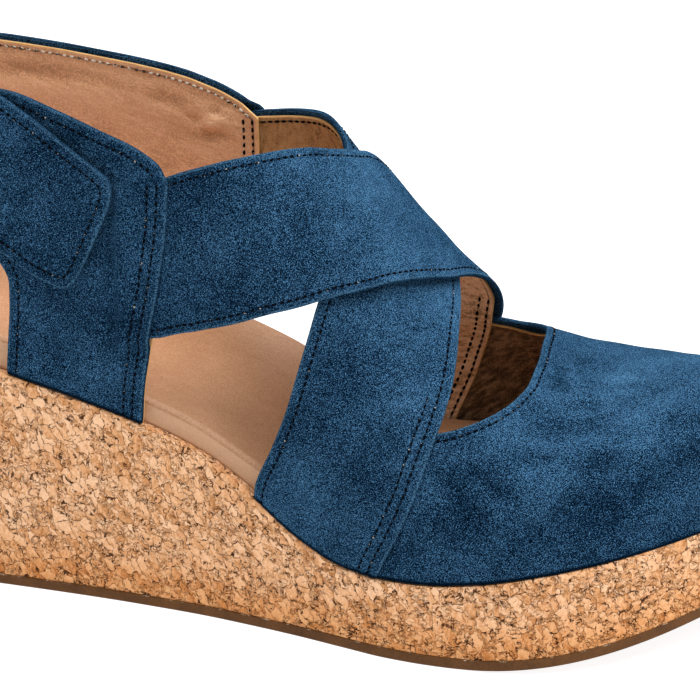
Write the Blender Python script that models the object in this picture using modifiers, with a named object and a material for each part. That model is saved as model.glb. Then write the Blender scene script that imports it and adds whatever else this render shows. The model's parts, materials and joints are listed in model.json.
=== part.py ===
"""Right wedge shoe with a closed toe, crossed instep straps and a heel strap with a fastening tab.

Lengths are in millimetres from the back of the heel, with +X to the toe, +Y to the inner side of the foot
and +Z up. The last step brings every piece to metres about the origin on the sole.
"""
import math

import bmesh
import bpy
from mathutils import Vector

MM = 0.001
ORIGIN_X = 80.0

# Sole
LENGTH = 235.0
HEEL_CENTRE = 36.0
TOE_Y = 6.0
HEEL_ROUND = 2.1
TOE_OUTER = 167.0
TOE_INNER = 166.0
TOE_ROUND_OUTER = 0.86
TOE_ROUND_INNER = 0.62
TOE_TIP_OUTER = 0.30
TOE_TIP_INNER = 0.12
SPRING_START = 158.0
TOE_SPRING = 16.7
OUTSOLE_THICK = 2.5
OUTSOLE_PROUD = 0.3
WEDGE_EDGE = 0.9
GAP = 0.3
SEAT = 0.42

# Upper
WALL = 2.0
RIM_INSET = 0.8
FOOT_INSET = RIM_INSET + WALL
FAN_START = 186.0
RIDGE_END = 204.0
VAMP_BACK = 138.0
VAMP_CORNER = 186.0
THROAT_X = 172.9
CROSS_LIFT = 2.4
UNDER_LIFT = 0.8
LAP_LIFT = 1.2
QUARTER_LAP = 1.3

# Quarter and heel strap
HEEL_ARC = 47.0
EAR_END = 22.0
LEG_JOIN = 84.0
INNER_FRONT = 2.0
STRAP_THICK = 2.0
STRAP_LIFT = WALL + GAP

# Insole
INSOLE_INSET = FOOT_INSET + 0.4
INSOLE_TAPER = 0.8
INSOLE_EDGE = 1.2

STATIONS = 44
VAMP_COLUMNS = 14
VAMP_ROWS = 9
STRAP_COLUMNS = 30
STRAP_ROWS = 7
EAR_COLUMNS = 8
LEG_COLUMNS = 8
LEG_ROWS = 6
BAND_ROWS = 6
HEEL_COLUMNS = 44
HEEL_ROWS = 6


class Table:
    """Rows of named columns, read smoothly along the first column."""

    def __init__(self, columns, rows):
        self.names = columns.split()
        self.rows = rows
        self.keys = [row[0] for row in rows]
        self.slopes = {name: self._slopes(index) for index, name in enumerate(self.names)}

    def _slopes(self, index):
        """Slopes that keep each column free of overshoot between its rows."""
        count = len(self.rows)
        steps = [self.keys[i + 1] - self.keys[i] for i in range(count - 1)]
        rise = [(self.rows[i + 1][index] - self.rows[i][index]) / steps[i] for i in range(count - 1)]
        slopes = [rise[0]]
        for i in range(1, count - 1):
            if rise[i - 1] * rise[i] <= 0.0:
                slopes.append(0.0)
                continue
            before = 2.0 * steps[i] + steps[i - 1]
            after = steps[i] + 2.0 * steps[i - 1]
            slopes.append((before + after) / (before / rise[i - 1] + after / rise[i]))
        slopes.append(rise[-1])
        return slopes

    def at(self, name, key):
        """Value of one column at a key."""
        index = self.names.index(name)
        key = min(max(key, self.keys[0]), self.keys[-1])
        i = 0
        while i < len(self.keys) - 2 and key > self.keys[i + 1]:
            i += 1
        step = self.keys[i + 1] - self.keys[i]
        t = (key - self.keys[i]) / step
        slope = self.slopes[name]
        low = self.rows[i][index]
        high = self.rows[i + 1][index]
        return ((2 * t ** 3 - 3 * t ** 2 + 1) * low + (t ** 3 - 2 * t ** 2 + t) * step * slope[i]
                + (3 * t ** 2 - 2 * t ** 3) * high + (t ** 3 - t ** 2) * step * slope[i + 1])


SOLE = Table("x outer inner top", [
    (0.0, 29.6, 29.6, 60.0),
    (16.0, 29.7, 29.7, 58.3),
    (32.0, 29.8, 29.8, 56.3),
    (48.0, 30.2, 30.0, 53.8),
    (64.0, 30.9, 29.8, 50.3),
    (77.0, 31.7, 29.6, 47.1),
    (89.0, 32.8, 29.7, 43.8),
    (101.0, 34.2, 30.0, 39.4),
    (113.0, 36.3, 32.0, 32.7),
    (125.0, 38.8, 35.2, 24.4),
    (137.0, 41.8, 39.1, 19.4),
    (147.0, 44.2, 42.3, 18.3),
    (157.0, 45.3, 44.3, 18.7),
    (168.0, 45.6, 45.5, 20.3),
    (180.0, 45.6, 45.5, 22.7),
    (194.0, 45.6, 45.5, 25.4),
    (210.0, 45.6, 45.5, 28.5),
    (235.0, 45.6, 45.5, 33.8),
])

LAST = Table("x crest side full", [
    (30.0, 190.0, 0.0, 3.2),
    (60.0, 182.0, 1.0, 3.2),
    (80.0, 165.0, 2.0, 3.2),
    (94.0, 144.0, 3.0, 3.0),
    (110.0, 118.0, 4.0, 2.6),
    (119.0, 106.2, 4.6, 2.42),
    (126.7, 97.2, 5.0, 2.28),
    (131.7, 90.6, 5.0, 2.24),
    (136.2, 84.4, 5.0, 2.2),
    (141.2, 79.4, 5.0, 2.17),
    (145.7, 74.7, 5.0, 2.15),
    (150.7, 70.3, 5.0, 2.15),
    (156.0, 66.2, 5.0, 2.18),
    (163.0, 61.6, 5.0, 2.22),
    (172.0, 58.2, 5.2, 2.26),
    (182.0, 56.5, 5.4, 2.3),
    (195.0, 54.9, 5.6, 2.36),
    (208.0, 54.0, 6.0, 2.4),
])

FOOTBED = Table("x rim cup", [
    (0.0, 9.5, 4.0),
    (60.0, 9.0, 3.5),
    (100.0, 9.0, 2.6),
    (140.0, 7.5, 1.5),
    (180.0, 6.5, 0.8),
    (235.0, 6.0, 0.5),
])

# Over strap from the outer quarter to the inner side of the vamp, as places on the last
CROSS_STRAP = Table("along back_x back_angle front_x front_angle lift", [
    (0.00, 84.0, 17.0, 84.0, 3.2, 0.0),
    (0.10, 93.5, 26.5, 91.5, 6.0, 0.2),
    (0.20, 100.6, 35.8, 103.0, 13.1, 0.9),
    (0.32, 109.5, 52.2, 115.0, 25.8, 2.0),
    (0.44, 117.2, 70.8, 126.3, 41.0, 2.4),
    (0.55, 123.4, 89.5, 137.0, 58.5, 2.4),
    (0.66, 126.4, 108.0, 147.0, 79.0, 2.4),
    (0.76, 127.4, 125.0, 154.0, 105.0, 2.1),
    (0.85, 126.2, 141.0, 156.0, 130.0, 1.5),
    (0.93, 121.5, 161.0, 151.5, 157.0, 1.2),
    (1.00, 114.6, 180.0, 143.4, 180.0, 1.2),
])

THROAT = Table("along x outer inner", [
    (0.00, 138.0, 29.0, 36.0),
    (0.22, 149.0, 34.0, 41.0),
    (0.34, 155.9, 38.2, 45.0),
    (0.46, 161.5, 44.2, 50.0),
    (0.58, 166.5, 51.2, 56.0),
    (0.70, 170.6, 60.4, 64.0),
    (0.80, 172.6, 69.0, 71.5),
    (0.90, 173.3, 79.5, 80.5),
    (1.00, 172.9, 90.0, 90.0),
])

QUARTER = Table("z back front", [
    (40.0, 55.2, 88.0),
    (52.0, 55.0, 88.2),
    (60.0, 55.2, 89.2),
    (70.0, 55.4, 90.6),
    (75.0, 54.6, 91.4),
    (80.0, 52.4, 92.2),
    (84.0, 47.5, 92.9),
    (90.0, 47.5, 93.6),
    (98.0, 47.5, 94.2),
    (103.0, 47.5, 94.2),
    (122.0, 47.5, 94.2),
])

EAR = Table("u bottom outer_top inner_top", [
    (20.0, 92.0, 117.5, 116.6),
    (40.0, 88.5, 119.4, 116.8),
    (58.0, 84.2, 119.8, 116.6),
    (68.0, 84.0, 119.2, 115.9),
    (79.0, 84.0, 116.0, 114.7),
    (90.0, 84.0, 111.8, 112.7),
    (99.0, 84.0, 107.6, 109.8),
    (103.0, 84.0, 105.3, 108.2),
    (105.2, 84.0, 102.6, 106.4),
    (107.4, 84.0, 102.6, 103.6),
])

HEEL_BACK = Table("z lean", [
    (50.0, 0.0),
    (64.0, 0.4),
    (78.0, 1.0),
    (92.0, 2.2),
    (106.0, 4.6),
    (122.0, 8.6),
])

HEEL_STRAP = Table("along u z half", [
    (0.00, 56.0, 101.5, 15.0),
    (0.12, 38.0, 103.0, 15.0),
    (0.30, 10.0, 104.2, 15.0),
    (0.45, -15.0, 104.6, 15.2),
    (0.62, -42.0, 103.8, 16.0),
    (0.74, -58.0, 101.0, 17.2),
    (0.84, -70.5, 96.2, 17.8),
    (0.92, -80.0, 91.6, 17.6),
    (1.00, -90.2, 86.6, 17.4),
])


def smooth(low, high, value):
    """Soft step from 0 at low to 1 at high."""
    t = min(max((value - low) / (high - low), 0.0), 1.0)
    return t * t * (3.0 - 2.0 * t)


def mix(low, high, t):
    """Straight blend of two numbers."""
    return low + (high - low) * t


def spread(index, count):
    """Even cosine spread from 0 to 1, closer at both ends."""
    return 0.5 - 0.5 * math.cos(math.pi * index / count)


def spring(x):
    """Lift of the sole's underside, which leaves the floor ahead of the ball."""
    if x <= SPRING_START:
        return 0.0
    return TOE_SPRING * ((x - SPRING_START) / (LENGTH - SPRING_START)) ** 2


def rim_y(x, side, inset):
    """Edge of the sole in plan, on the outer side (-1) or the inner side (1)."""
    half = SOLE.at("outer" if side < 0 else "inner", x) - inset
    y = side * half
    if x < HEEL_CENTRE:
        part = min((HEEL_CENTRE - x) / (HEEL_CENTRE - inset), 1.0)
        y *= (1.0 - part ** HEEL_ROUND) ** (1.0 / HEEL_ROUND)
    centre = TOE_OUTER if side < 0 else TOE_INNER
    if x > centre:
        part = min((x - centre) / (LENGTH - inset - centre), 1.0)
        power = TOE_ROUND_OUTER - TOE_TIP_OUTER * part ** 6
        if side > 0:
            power = TOE_ROUND_INNER - TOE_TIP_INNER * part ** 6
        y = TOE_Y + (y - TOE_Y) * (1.0 - part ** 2) ** power
    return y


def ridge_x(x):
    """Place on the ridge that a station on the rim leads up to, drawn back round the toe."""
    end = LENGTH - FOOT_INSET
    part = min(max((x - FAN_START) / (end - FAN_START), 0.0), 1.0)
    return x - (end - RIDGE_END) * part ** 2


def last_point(x, angle):
    """Point of the last at a rim station, from 0 degrees on the outer rim over the ridge to 180 degrees."""
    side = -1 if angle <= 90.0 else 1
    turn = math.radians(angle)
    x = min(x, LENGTH - FOOT_INSET)
    top_x = ridge_x(x)
    rim = Vector((x, rim_y(x, side, FOOT_INSET), SOLE.at("top", x) + SEAT))
    ridge = Vector((top_x, LAST.at("side", top_x), LAST.at("crest", top_x)))
    power = 2.0 / LAST.at("full", x)
    across = abs(math.cos(turn)) ** power
    up = abs(math.sin(turn)) ** power
    return Vector((mix(ridge.x, rim.x, across), mix(ridge.y, rim.y, across), mix(rim.z, ridge.z, up)))


def wall_point(u, z):
    """Point of the foot's side wall at a way round the heel, outer side negative, and a height."""
    side = -1 if u < 0 else 1
    way = abs(u)
    x = max(HEEL_CENTRE, HEEL_CENTRE + way - HEEL_ARC)
    base = SOLE.at("top", x) + SEAT
    middle = LAST.at("side", x)
    full = LAST.at("full", x)
    part = min(max((z - base) / (LAST.at("crest", x) - base), 0.0), 1.0)
    y = mix(middle, rim_y(x, side, FOOT_INSET), (1.0 - part ** full) ** (1.0 / full))
    if way >= HEEL_ARC:
        return Vector((x, y, z))
    turn = math.radians(90.0 * way / HEEL_ARC)
    depth = HEEL_CENTRE - FOOT_INSET - HEEL_BACK.at("lean", z)
    power = 2.0 / HEEL_ROUND
    return Vector((HEEL_CENTRE - depth * math.cos(turn) ** power, y * math.sin(turn) ** power, z))


def lifted(surface, a, b, lift, inside):
    """Point of a surface moved out along its normal, away from a point inside the foot."""
    step = 0.05
    along = surface(a + step, b) - surface(a - step, b)
    up = surface(a, b + step) - surface(a, b - step)
    normal = along.cross(up)
    point = surface(a, b)
    if normal.length < 1e-9:
        return point
    normal.normalize()
    if normal.dot(point - inside) < 0.0:
        normal.negate()
    return point + normal * lift


def on_last(x, angle, lift):
    """Point above the last, kept level at the rim so that the wall's foot stays on the wedge."""
    angle = min(max(angle, 0.0), 180.0)
    inside = Vector((min(x, 190.0), LAST.at("side", x), SOLE.at("top", x) + 12.0))
    near = min(max(angle, 0.3), 179.7)
    point = lifted(last_point, x, near, lift, inside)
    if angle != near:
        point.z = SOLE.at("top", point.x) + SEAT
    return point


def on_wall(u, z, lift):
    """Point outside the foot's side wall, kept above the wedge."""
    x = max(HEEL_CENTRE, HEEL_CENTRE + abs(u) - HEEL_ARC)
    z = max(z, SOLE.at("top", x) + SEAT)
    point = lifted(wall_point, u, z, lift, Vector((max(x, 34.0), 0.0, z)))
    point.z = max(point.z, SOLE.at("top", point.x) + SEAT)
    return point


def new_object(name, mesh, collection):
    """Object at the origin in one collection."""
    item = bpy.data.objects.new(name, mesh)
    collection.objects.link(item)
    return item


def to_mesh(name, points, faces):
    """Mesh in metres from points in millimetres, with doubled points merged and faces turned outward."""
    mesh = bpy.data.meshes.new(name)
    shift = Vector((ORIGIN_X, 0.0, 0.0))
    mesh.from_pydata([(point - shift) * MM for point in points], [], faces)
    work = bmesh.new()
    work.from_mesh(mesh)
    bmesh.ops.remove_doubles(work, verts=work.verts, dist=0.00002)
    bmesh.ops.recalc_face_normals(work, faces=work.faces)
    work.to_mesh(mesh)
    work.free()
    return mesh


def loft(name, rings, collection):
    """Closed solid through rings of equal count, with its two ends capped."""
    count = len(rings[0])
    points = [point for ring in rings for point in ring]
    faces = [tuple(range(count))]
    for i in range(len(rings) - 1):
        for j in range(count):
            k = (j + 1) % count
            faces.append((i * count + j, i * count + k, (i + 1) * count + k, (i + 1) * count + j))
    last = (len(rings) - 1) * count
    faces.append(tuple(last + j for j in range(count)))
    return new_object(name, to_mesh(name, points, faces), collection)


def grid_faces(columns, rows, first=0):
    """Quads of a grid whose points run row by row within each column."""
    faces = []
    for i in range(columns):
        for j in range(rows):
            a = first + i * (rows + 1) + j
            faces.append((a, a + rows + 1, a + rows + 2, a + 1))
    return faces


def shell(name, points, faces, thick, collection):
    """Wall of one thickness standing outward on an open surface."""
    mesh = to_mesh(name, points, faces)
    middle = sum((vertex.co for vertex in mesh.vertices), Vector()) / len(mesh.vertices)
    middle.z = 0.03
    lean = sum(face.normal.dot(face.center - middle) * face.area for face in mesh.polygons)
    if lean < 0.0:
        mesh.flip_normals()
    item = new_object(name, mesh, collection)
    wall = item.modifiers.new("Wall", "SOLIDIFY")
    wall.thickness = thick * MM
    wall.offset = 1.0
    wall.use_even_offset = True
    return item


def apply_modifiers(item):
    """Replace an object's mesh with the shape that its modifiers give."""
    bpy.context.view_layer.update()
    graph = bpy.context.evaluated_depsgraph_get()
    mesh = bpy.data.meshes.new_from_object(item.evaluated_get(graph))
    old = item.data
    item.modifiers.clear()
    item.data = mesh
    bpy.data.meshes.remove(old)


def finish_material(item, colour, roughness):
    """Give an object its own plain material."""
    material = bpy.data.materials.new(item.name)
    material.use_nodes = True
    shader = material.node_tree.nodes["Principled BSDF"]
    shader.inputs["Base Color"].default_value = colour
    shader.inputs["Roughness"].default_value = roughness
    shader.inputs["Metallic"].default_value = 0.0
    item.data.materials.clear()
    item.data.materials.append(material)


def sole_stations(inset):
    """Stations from heel to toe, closer where the outline turns."""
    return [mix(inset + 0.25, LENGTH - inset - 0.25, spread(i, STATIONS)) for i in range(STATIONS + 1)]


def make_outsole(collection):
    """Thin sheet under the wedge, flat from heel to ball and sprung at the toe."""
    rings = []
    for x in sole_stations(-OUTSOLE_PROUD):
        outer = rim_y(x, -1, -OUTSOLE_PROUD)
        inner = rim_y(x, 1, -OUTSOLE_PROUD)
        low = spring(x)
        high = low + OUTSOLE_THICK
        rings.append([Vector((x, outer, low)), Vector((x, inner, low)),
                      Vector((x, inner, high)), Vector((x, outer, high))])
    return loft("outsole", rings, collection)


def make_wedge(collection):
    """Cork block from the outsole up to the rim, with a broken top edge."""
    rings = []
    for x in sole_stations(0.0):
        outer = rim_y(x, -1, 0.0)
        inner = rim_y(x, 1, 0.0)
        low = spring(x) + OUTSOLE_THICK + GAP
        high = SOLE.at("top", x)
        ease = min(WEDGE_EDGE, 0.2 * (inner - outer))
        rings.append([Vector((x, outer, low)), Vector((x, inner, low)),
                      Vector((x, inner, high - ease)), Vector((x, inner - ease, high)),
                      Vector((x, outer + ease, high)), Vector((x, outer, high - ease))])
    return loft("cork_wedge", rings, collection)


def make_insole(collection):
    """Footbed inside the upper, cupped below its rim."""
    rings = []
    across = 10
    for x in sole_stations(INSOLE_INSET):
        outer = rim_y(x, -1, INSOLE_INSET)
        inner = rim_y(x, 1, INSOLE_INSET)
        low = SOLE.at("top", x) + GAP
        rim = FOOTBED.at("rim", x)
        ends = smooth(INSOLE_INSET, INSOLE_INSET + 22.0, x) * smooth(LENGTH - INSOLE_INSET, LENGTH - 30.0, x)
        cup = FOOTBED.at("cup", x) * ends
        inward = min(x, LENGTH - x) - INSOLE_INSET
        ring = [Vector((x, inner, low)), Vector((x, outer, low))]
        taper = min(INSOLE_TAPER, 0.25 * (inner - outer))
        for j in range(across + 1):
            t = 2.0 * j / across - 1.0
            drop = cup * (1.0 - abs(t) ** 3.0)
            edge = INSOLE_EDGE * max(smooth(0.86, 1.0, abs(t)), 1.0 - smooth(0.0, 5.0, inward))
            ring.append(Vector((x, mix(outer + taper, inner - taper, 0.5 + 0.5 * t), low + rim - drop - edge)))
        rings.append(ring)
    return loft("insole", rings, collection)


def vamp_half(side):
    """Columns of the vamp on one side: first those that end at the throat, then those up to the ridge."""
    columns = []
    tip = LENGTH - FOOT_INSET
    for i in range(2 * VAMP_COLUMNS + 1):
        if i <= VAMP_COLUMNS:
            t = i / VAMP_COLUMNS
            foot = mix(VAMP_BACK, VAMP_CORNER, t)
            head = THROAT.at("x", t)
            reach = THROAT.at("outer" if side < 0 else "inner", t)
        else:
            t = math.sin(0.5 * math.pi * (i - VAMP_COLUMNS) / VAMP_COLUMNS)
            foot = mix(VAMP_CORNER, tip, t)
            head = mix(THROAT_X, tip, t)
            reach = 90.0
        column = []
        for j in range(VAMP_ROWS + 1):
            s = j / VAMP_ROWS
            angle = reach * s
            turned = angle if side < 0 else 180.0 - angle
            x = mix(foot, head, s)
            column.append(on_last(x, turned, 0.0))
        columns.append(column)
    return columns


def make_vamp(collection):
    """Closed toe and sides, open at the throat."""
    points = []
    faces = []
    for side in (-1, 1):
        columns = vamp_half(side)
        faces.extend(grid_faces(len(columns) - 1, VAMP_ROWS, len(points)))
        points.extend(point for column in columns for point in column)
    return shell("vamp", points, faces, WALL, collection)


def make_cross_strap(name, side, cross, collection):
    """Wide strap over the instep, from one quarter to the other side of the vamp."""
    points = []
    for i in range(STRAP_COLUMNS + 1):
        along = i / STRAP_COLUMNS
        lift = CROSS_STRAP.at("lift", along)
        if cross < CROSS_LIFT:
            lift = min(lift, mix(cross, LAP_LIFT, smooth(0.7, 0.95, along)))
        for j in range(STRAP_ROWS + 1):
            t = j / STRAP_ROWS
            x = mix(CROSS_STRAP.at("back_x", along), CROSS_STRAP.at("front_x", along), t)
            angle = mix(CROSS_STRAP.at("back_angle", along), CROSS_STRAP.at("front_angle", along), t)
            points.append(on_last(x, angle if side < 0 else 180.0 - angle, lift))
    return shell(name, points, grid_faces(STRAP_COLUMNS, STRAP_ROWS), WALL, collection)


def quarter_lift(x, z):
    """Lift of the quarter's front where it laps over the end of a strap."""
    return QUARTER_LAP * smooth(81.0, 86.0, x) * smooth(56.0, 64.0, z)


def make_quarter(name, side, collection):
    """Side panel from the wedge to the collar, with an ear that runs back under the heel strap."""
    def place(u, z):
        x = HEEL_CENTRE + u - HEEL_ARC
        return on_wall(side * u, z, quarter_lift(x, z))

    top = "outer_top" if side < 0 else "inner_top"

    def front(z):
        return QUARTER.at("front", z) + (INNER_FRONT if side > 0 else 0.0)

    points = []
    faces = []
    leg_start = QUARTER.at("back", LEG_JOIN) - HEEL_CENTRE + HEEL_ARC
    for i in range(EAR_COLUMNS + LEG_COLUMNS + 1):
        for j in range(BAND_ROWS + 1):
            s = j / BAND_ROWS
            if i <= EAR_COLUMNS:
                u = mix(EAR_END, leg_start, i / EAR_COLUMNS)
                z = mix(EAR.at("bottom", u), EAR.at(top, u), s)
            else:
                t = (i - EAR_COLUMNS) / LEG_COLUMNS
                rough = mix(LEG_JOIN, 103.0, s)
                u = mix(leg_start, front(rough) - HEEL_CENTRE + HEEL_ARC, t)
                z = mix(LEG_JOIN, EAR.at(top, u), s)
            points.append(place(u, z))
    faces.extend(grid_faces(EAR_COLUMNS + LEG_COLUMNS, BAND_ROWS))
    first = len(points)
    for i in range(LEG_COLUMNS + 1):
        for j in range(LEG_ROWS + 1):
            s = j / LEG_ROWS
            t = i / LEG_COLUMNS
            foot = SOLE.at("top", mix(QUARTER.at("back", 50.0), front(45.0), t)) + SEAT
            z = mix(foot, LEG_JOIN, 1.0 - (1.0 - s) ** 1.4)
            x = mix(QUARTER.at("back", z), front(z), t)
            points.append(place(x - HEEL_CENTRE + HEEL_ARC, z))
    faces.extend(grid_faces(LEG_COLUMNS, LEG_ROWS, first))
    return shell(name, points, faces, WALL, collection)


def make_heel_strap(collection):
    """Band round the heel with a rounded fastening tab on the outer side."""
    points = []
    for i in range(HEEL_COLUMNS + 1):
        along = i / HEEL_COLUMNS
        u = HEEL_STRAP.at("u", along)
        z = HEEL_STRAP.at("z", along)
        half = HEEL_STRAP.at("half", along)
        ahead = min(along + 0.01, 1.0)
        behind = max(along - 0.01, 0.0)
        run = HEEL_STRAP.at("u", ahead) - HEEL_STRAP.at("u", behind)
        rise = HEEL_STRAP.at("z", ahead) - HEEL_STRAP.at("z", behind)
        size = math.hypot(run, rise)
        end = min(max((along - 0.86) / 0.14, 0.0), 1.0)
        half *= max((1.0 - end ** 3.2) ** (1.0 / 2.4), 0.3)
        for j in range(HEEL_ROWS + 1):
            t = 2.0 * j / HEEL_ROWS - 1.0
            points.append(on_wall(u + t * half * rise / size, z - t * half * run / size, STRAP_LIFT))
    return shell("heel_strap", points, grid_faces(HEEL_COLUMNS, HEEL_ROWS), STRAP_THICK, collection)


def keep_above_wedge(item):
    """Trim the foot of a wall level with its seat just above the wedge."""
    for vertex in item.data.vertices:
        seat = (SOLE.at("top", vertex.co.x / MM + ORIGIN_X) + SEAT) * MM
        vertex.co.z = max(vertex.co.z, seat)


def make_upper(collection, cutters):
    """One hollow shell: vamp, crossed straps and quarters joined where they lap."""
    upper = make_vamp(collection)
    upper.name = "upper"
    apply_modifiers(upper)
    keep_above_wedge(upper)
    layers = [make_cross_strap("under_strap", 1, UNDER_LIFT, cutters),
              make_cross_strap("over_strap", -1, CROSS_LIFT, cutters),
              make_quarter("outer_quarter", -1, cutters),
              make_quarter("inner_quarter", 1, cutters)]
    for layer in layers:
        layer.hide_render = True
        layer.display_type = "WIRE"
        apply_modifiers(layer)
        keep_above_wedge(layer)
        join = upper.modifiers.new(layer.name, "BOOLEAN")
        join.operation = "UNION"
        join.solver = "EXACT"
        join.object = layer
        apply_modifiers(upper)
    return upper


def main():
    """Clear the scene and build every piece."""
    for item in list(bpy.data.objects):
        bpy.data.objects.remove(item)
    shoe = bpy.data.collections.new("wedge_shoe")
    cutters = bpy.data.collections.new("layers")
    bpy.context.scene.collection.children.link(shoe)
    bpy.context.scene.collection.children.link(cutters)
    finish_material(make_outsole(shoe), (0.08, 0.035, 0.018, 1.0), 0.65)
    finish_material(make_wedge(shoe), (0.62, 0.40, 0.22, 1.0), 0.8)
    finish_material(make_insole(shoe), (0.50, 0.29, 0.15, 1.0), 0.6)
    finish_material(make_upper(shoe, cutters), (0.06, 0.10, 0.19, 1.0), 0.9)
    strap = make_heel_strap(shoe)
    apply_modifiers(strap)
    finish_material(strap, (0.06, 0.10, 0.19, 1.0), 0.9)


main()
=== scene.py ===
"""Looks of a right wedge shoe: suede panels, tan lining, moulded footbed, cork wedge and brown outsole.

Shapes are worked out in millimetres from the back of the heel, with +X to the toe, +Y to the inner side
of the foot and +Z up. Meshes are written in metres about the frame's own origin, so they lie where the
solids lie.
"""

import json
import logging
import math
from dataclasses import dataclass, field
from enum import Enum
from typing import Any, Callable

import bmesh
import bpy
import numpy as np
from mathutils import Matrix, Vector
from mathutils.bvhtree import BVHTree
from mathutils.kdtree import KDTree

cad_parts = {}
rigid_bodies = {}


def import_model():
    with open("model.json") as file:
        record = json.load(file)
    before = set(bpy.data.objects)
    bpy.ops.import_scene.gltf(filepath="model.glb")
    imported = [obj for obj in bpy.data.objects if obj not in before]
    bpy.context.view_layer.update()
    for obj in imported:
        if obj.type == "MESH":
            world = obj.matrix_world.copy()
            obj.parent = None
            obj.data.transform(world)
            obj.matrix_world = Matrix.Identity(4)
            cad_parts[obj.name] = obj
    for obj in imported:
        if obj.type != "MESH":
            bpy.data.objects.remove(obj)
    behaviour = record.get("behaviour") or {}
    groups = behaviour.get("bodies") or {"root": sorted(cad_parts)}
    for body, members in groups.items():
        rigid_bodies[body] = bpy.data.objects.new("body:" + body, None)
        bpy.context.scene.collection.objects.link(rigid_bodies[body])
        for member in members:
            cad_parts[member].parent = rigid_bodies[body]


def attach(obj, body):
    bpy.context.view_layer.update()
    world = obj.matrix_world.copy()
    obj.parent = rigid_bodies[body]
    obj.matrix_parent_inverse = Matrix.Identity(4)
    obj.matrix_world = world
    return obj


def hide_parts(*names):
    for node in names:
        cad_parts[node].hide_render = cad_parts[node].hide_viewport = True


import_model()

Array = np.ndarray
Values = Array | float
Span = tuple[float, float]
Triple = tuple[float, float, float]
Colour = Triple
Object = bpy.types.Object
Material = bpy.types.Material
NodeTree = bpy.types.NodeTree
Node = bpy.types.Node
Socket = bpy.types.NodeSocket

MM = 0.001
ORIGIN_X = 80.0
BODY = "root"

# Named values that finishes and geometry trees read at each point, and a distance that is out of reach
EDGE = "edge"
ROW = "row"
LAP = "lap"
FOOT = "foot"
# Named value of painted light and shade: crease ridges and strap highlight bands lighter, crease troughs
# darker
PAINTED_LIGHT = "fold"
RELIEF = "relief"
OUT = "out"
FAR = 50.0

# Where unevenness sets in behind an edge, widths of a rolled edge and of a row's groove, and a lining's rings
EASE = (2.0, 8.0)
ROLL_WIDTH = 0.8
GROOVE_WIDTH = 0.6
LINING_RINGS = 4

log = logging.getLogger("wedge_shoe")


class Side(Enum):
    """Side of the foot, with its sign along Y."""

    OUTER = -1.0
    INNER = 1.0


class Slot(Enum):
    """Material slot of the record, by name."""

    RUBBER = "outsole_rubber"
    CORK = "cork"
    INSOLE = "insole_leather"
    SUEDE = "suede"
    LINING = "lining"
    THREAD = "thread"


class Table:
    """Rows of named columns, read smoothly along the first column."""

    def __init__(self, columns: str, rows: list[tuple[float, ...]]) -> None:
        """Keep the rows and work out the slopes.

        Args:
            columns: Names of the columns, the key first.
            rows: One row for each key, in rising order.
        """
        self.names = columns.split()
        self.rows = np.array(rows, float)
        self.keys = self.rows[:, 0]
        self.slopes = np.stack([self._slopes(column) for column in self.rows.T], axis=1)

    def _slopes(self, column: Array) -> Array:
        """Slopes that keep a column free of overshoot between its rows.

        Args:
            column: Values of one column.

        Returns:
            One slope for each row.
        """
        steps = np.diff(self.keys)
        rise = np.diff(column) / steps
        before = 2.0 * steps[1:] + steps[:-1]
        after = steps[1:] + 2.0 * steps[:-1]
        level = rise[:-1] * rise[1:] <= 0.0
        first = np.where(level, 1.0, rise[:-1])
        second = np.where(level, 1.0, rise[1:])
        middle = np.where(level, 0.0, (before + after) / (before / first + after / second))
        return np.concatenate([rise[:1], middle, rise[-1:]])

    def at(self, name: str, key: Values) -> Array:
        """Values of one column.

        Args:
            name: Name of the column.
            key: Places along the first column.

        Returns:
            The column's values at those places.
        """
        index = self.names.index(name)
        key = np.clip(np.asarray(key, float), self.keys[0], self.keys[-1])
        i = np.clip(np.searchsorted(self.keys, key) - 1, 0, len(self.keys) - 2)
        step = self.keys[i + 1] - self.keys[i]
        t = (key - self.keys[i]) / step
        low, high = self.rows[i, index], self.rows[i + 1, index]
        leave, arrive = self.slopes[i, index], self.slopes[i + 1, index]
        return ((2 * t ** 3 - 3 * t ** 2 + 1) * low + (t ** 3 - 2 * t ** 2 + t) * step * leave
                + (3 * t ** 2 - 2 * t ** 3) * high + (t ** 3 - t ** 2) * step * arrive)


# Half width of the sole on each side, and height of the wedge's top
SOLE = Table("x outer inner top", [
    (0.0, 29.6, 29.6, 60.0),
    (16.0, 29.7, 29.7, 58.3),
    (32.0, 29.8, 29.8, 56.3),
    (48.0, 30.2, 30.0, 53.8),
    (64.0, 30.9, 29.8, 50.3),
    (77.0, 31.7, 29.6, 47.1),
    (89.0, 32.8, 29.7, 43.8),
    (101.0, 34.2, 30.0, 39.4),
    (113.0, 36.3, 32.0, 32.7),
    (125.0, 38.8, 35.2, 24.4),
    (137.0, 41.8, 39.1, 19.4),
    (147.0, 44.2, 42.3, 18.3),
    (157.0, 45.3, 44.3, 18.7),
    (168.0, 45.6, 45.5, 20.3),
    (180.0, 45.6, 45.5, 22.7),
    (194.0, 45.6, 45.5, 25.4),
    (210.0, 45.6, 45.5, 28.5),
    (235.0, 45.6, 45.5, 33.8),
])

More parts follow.
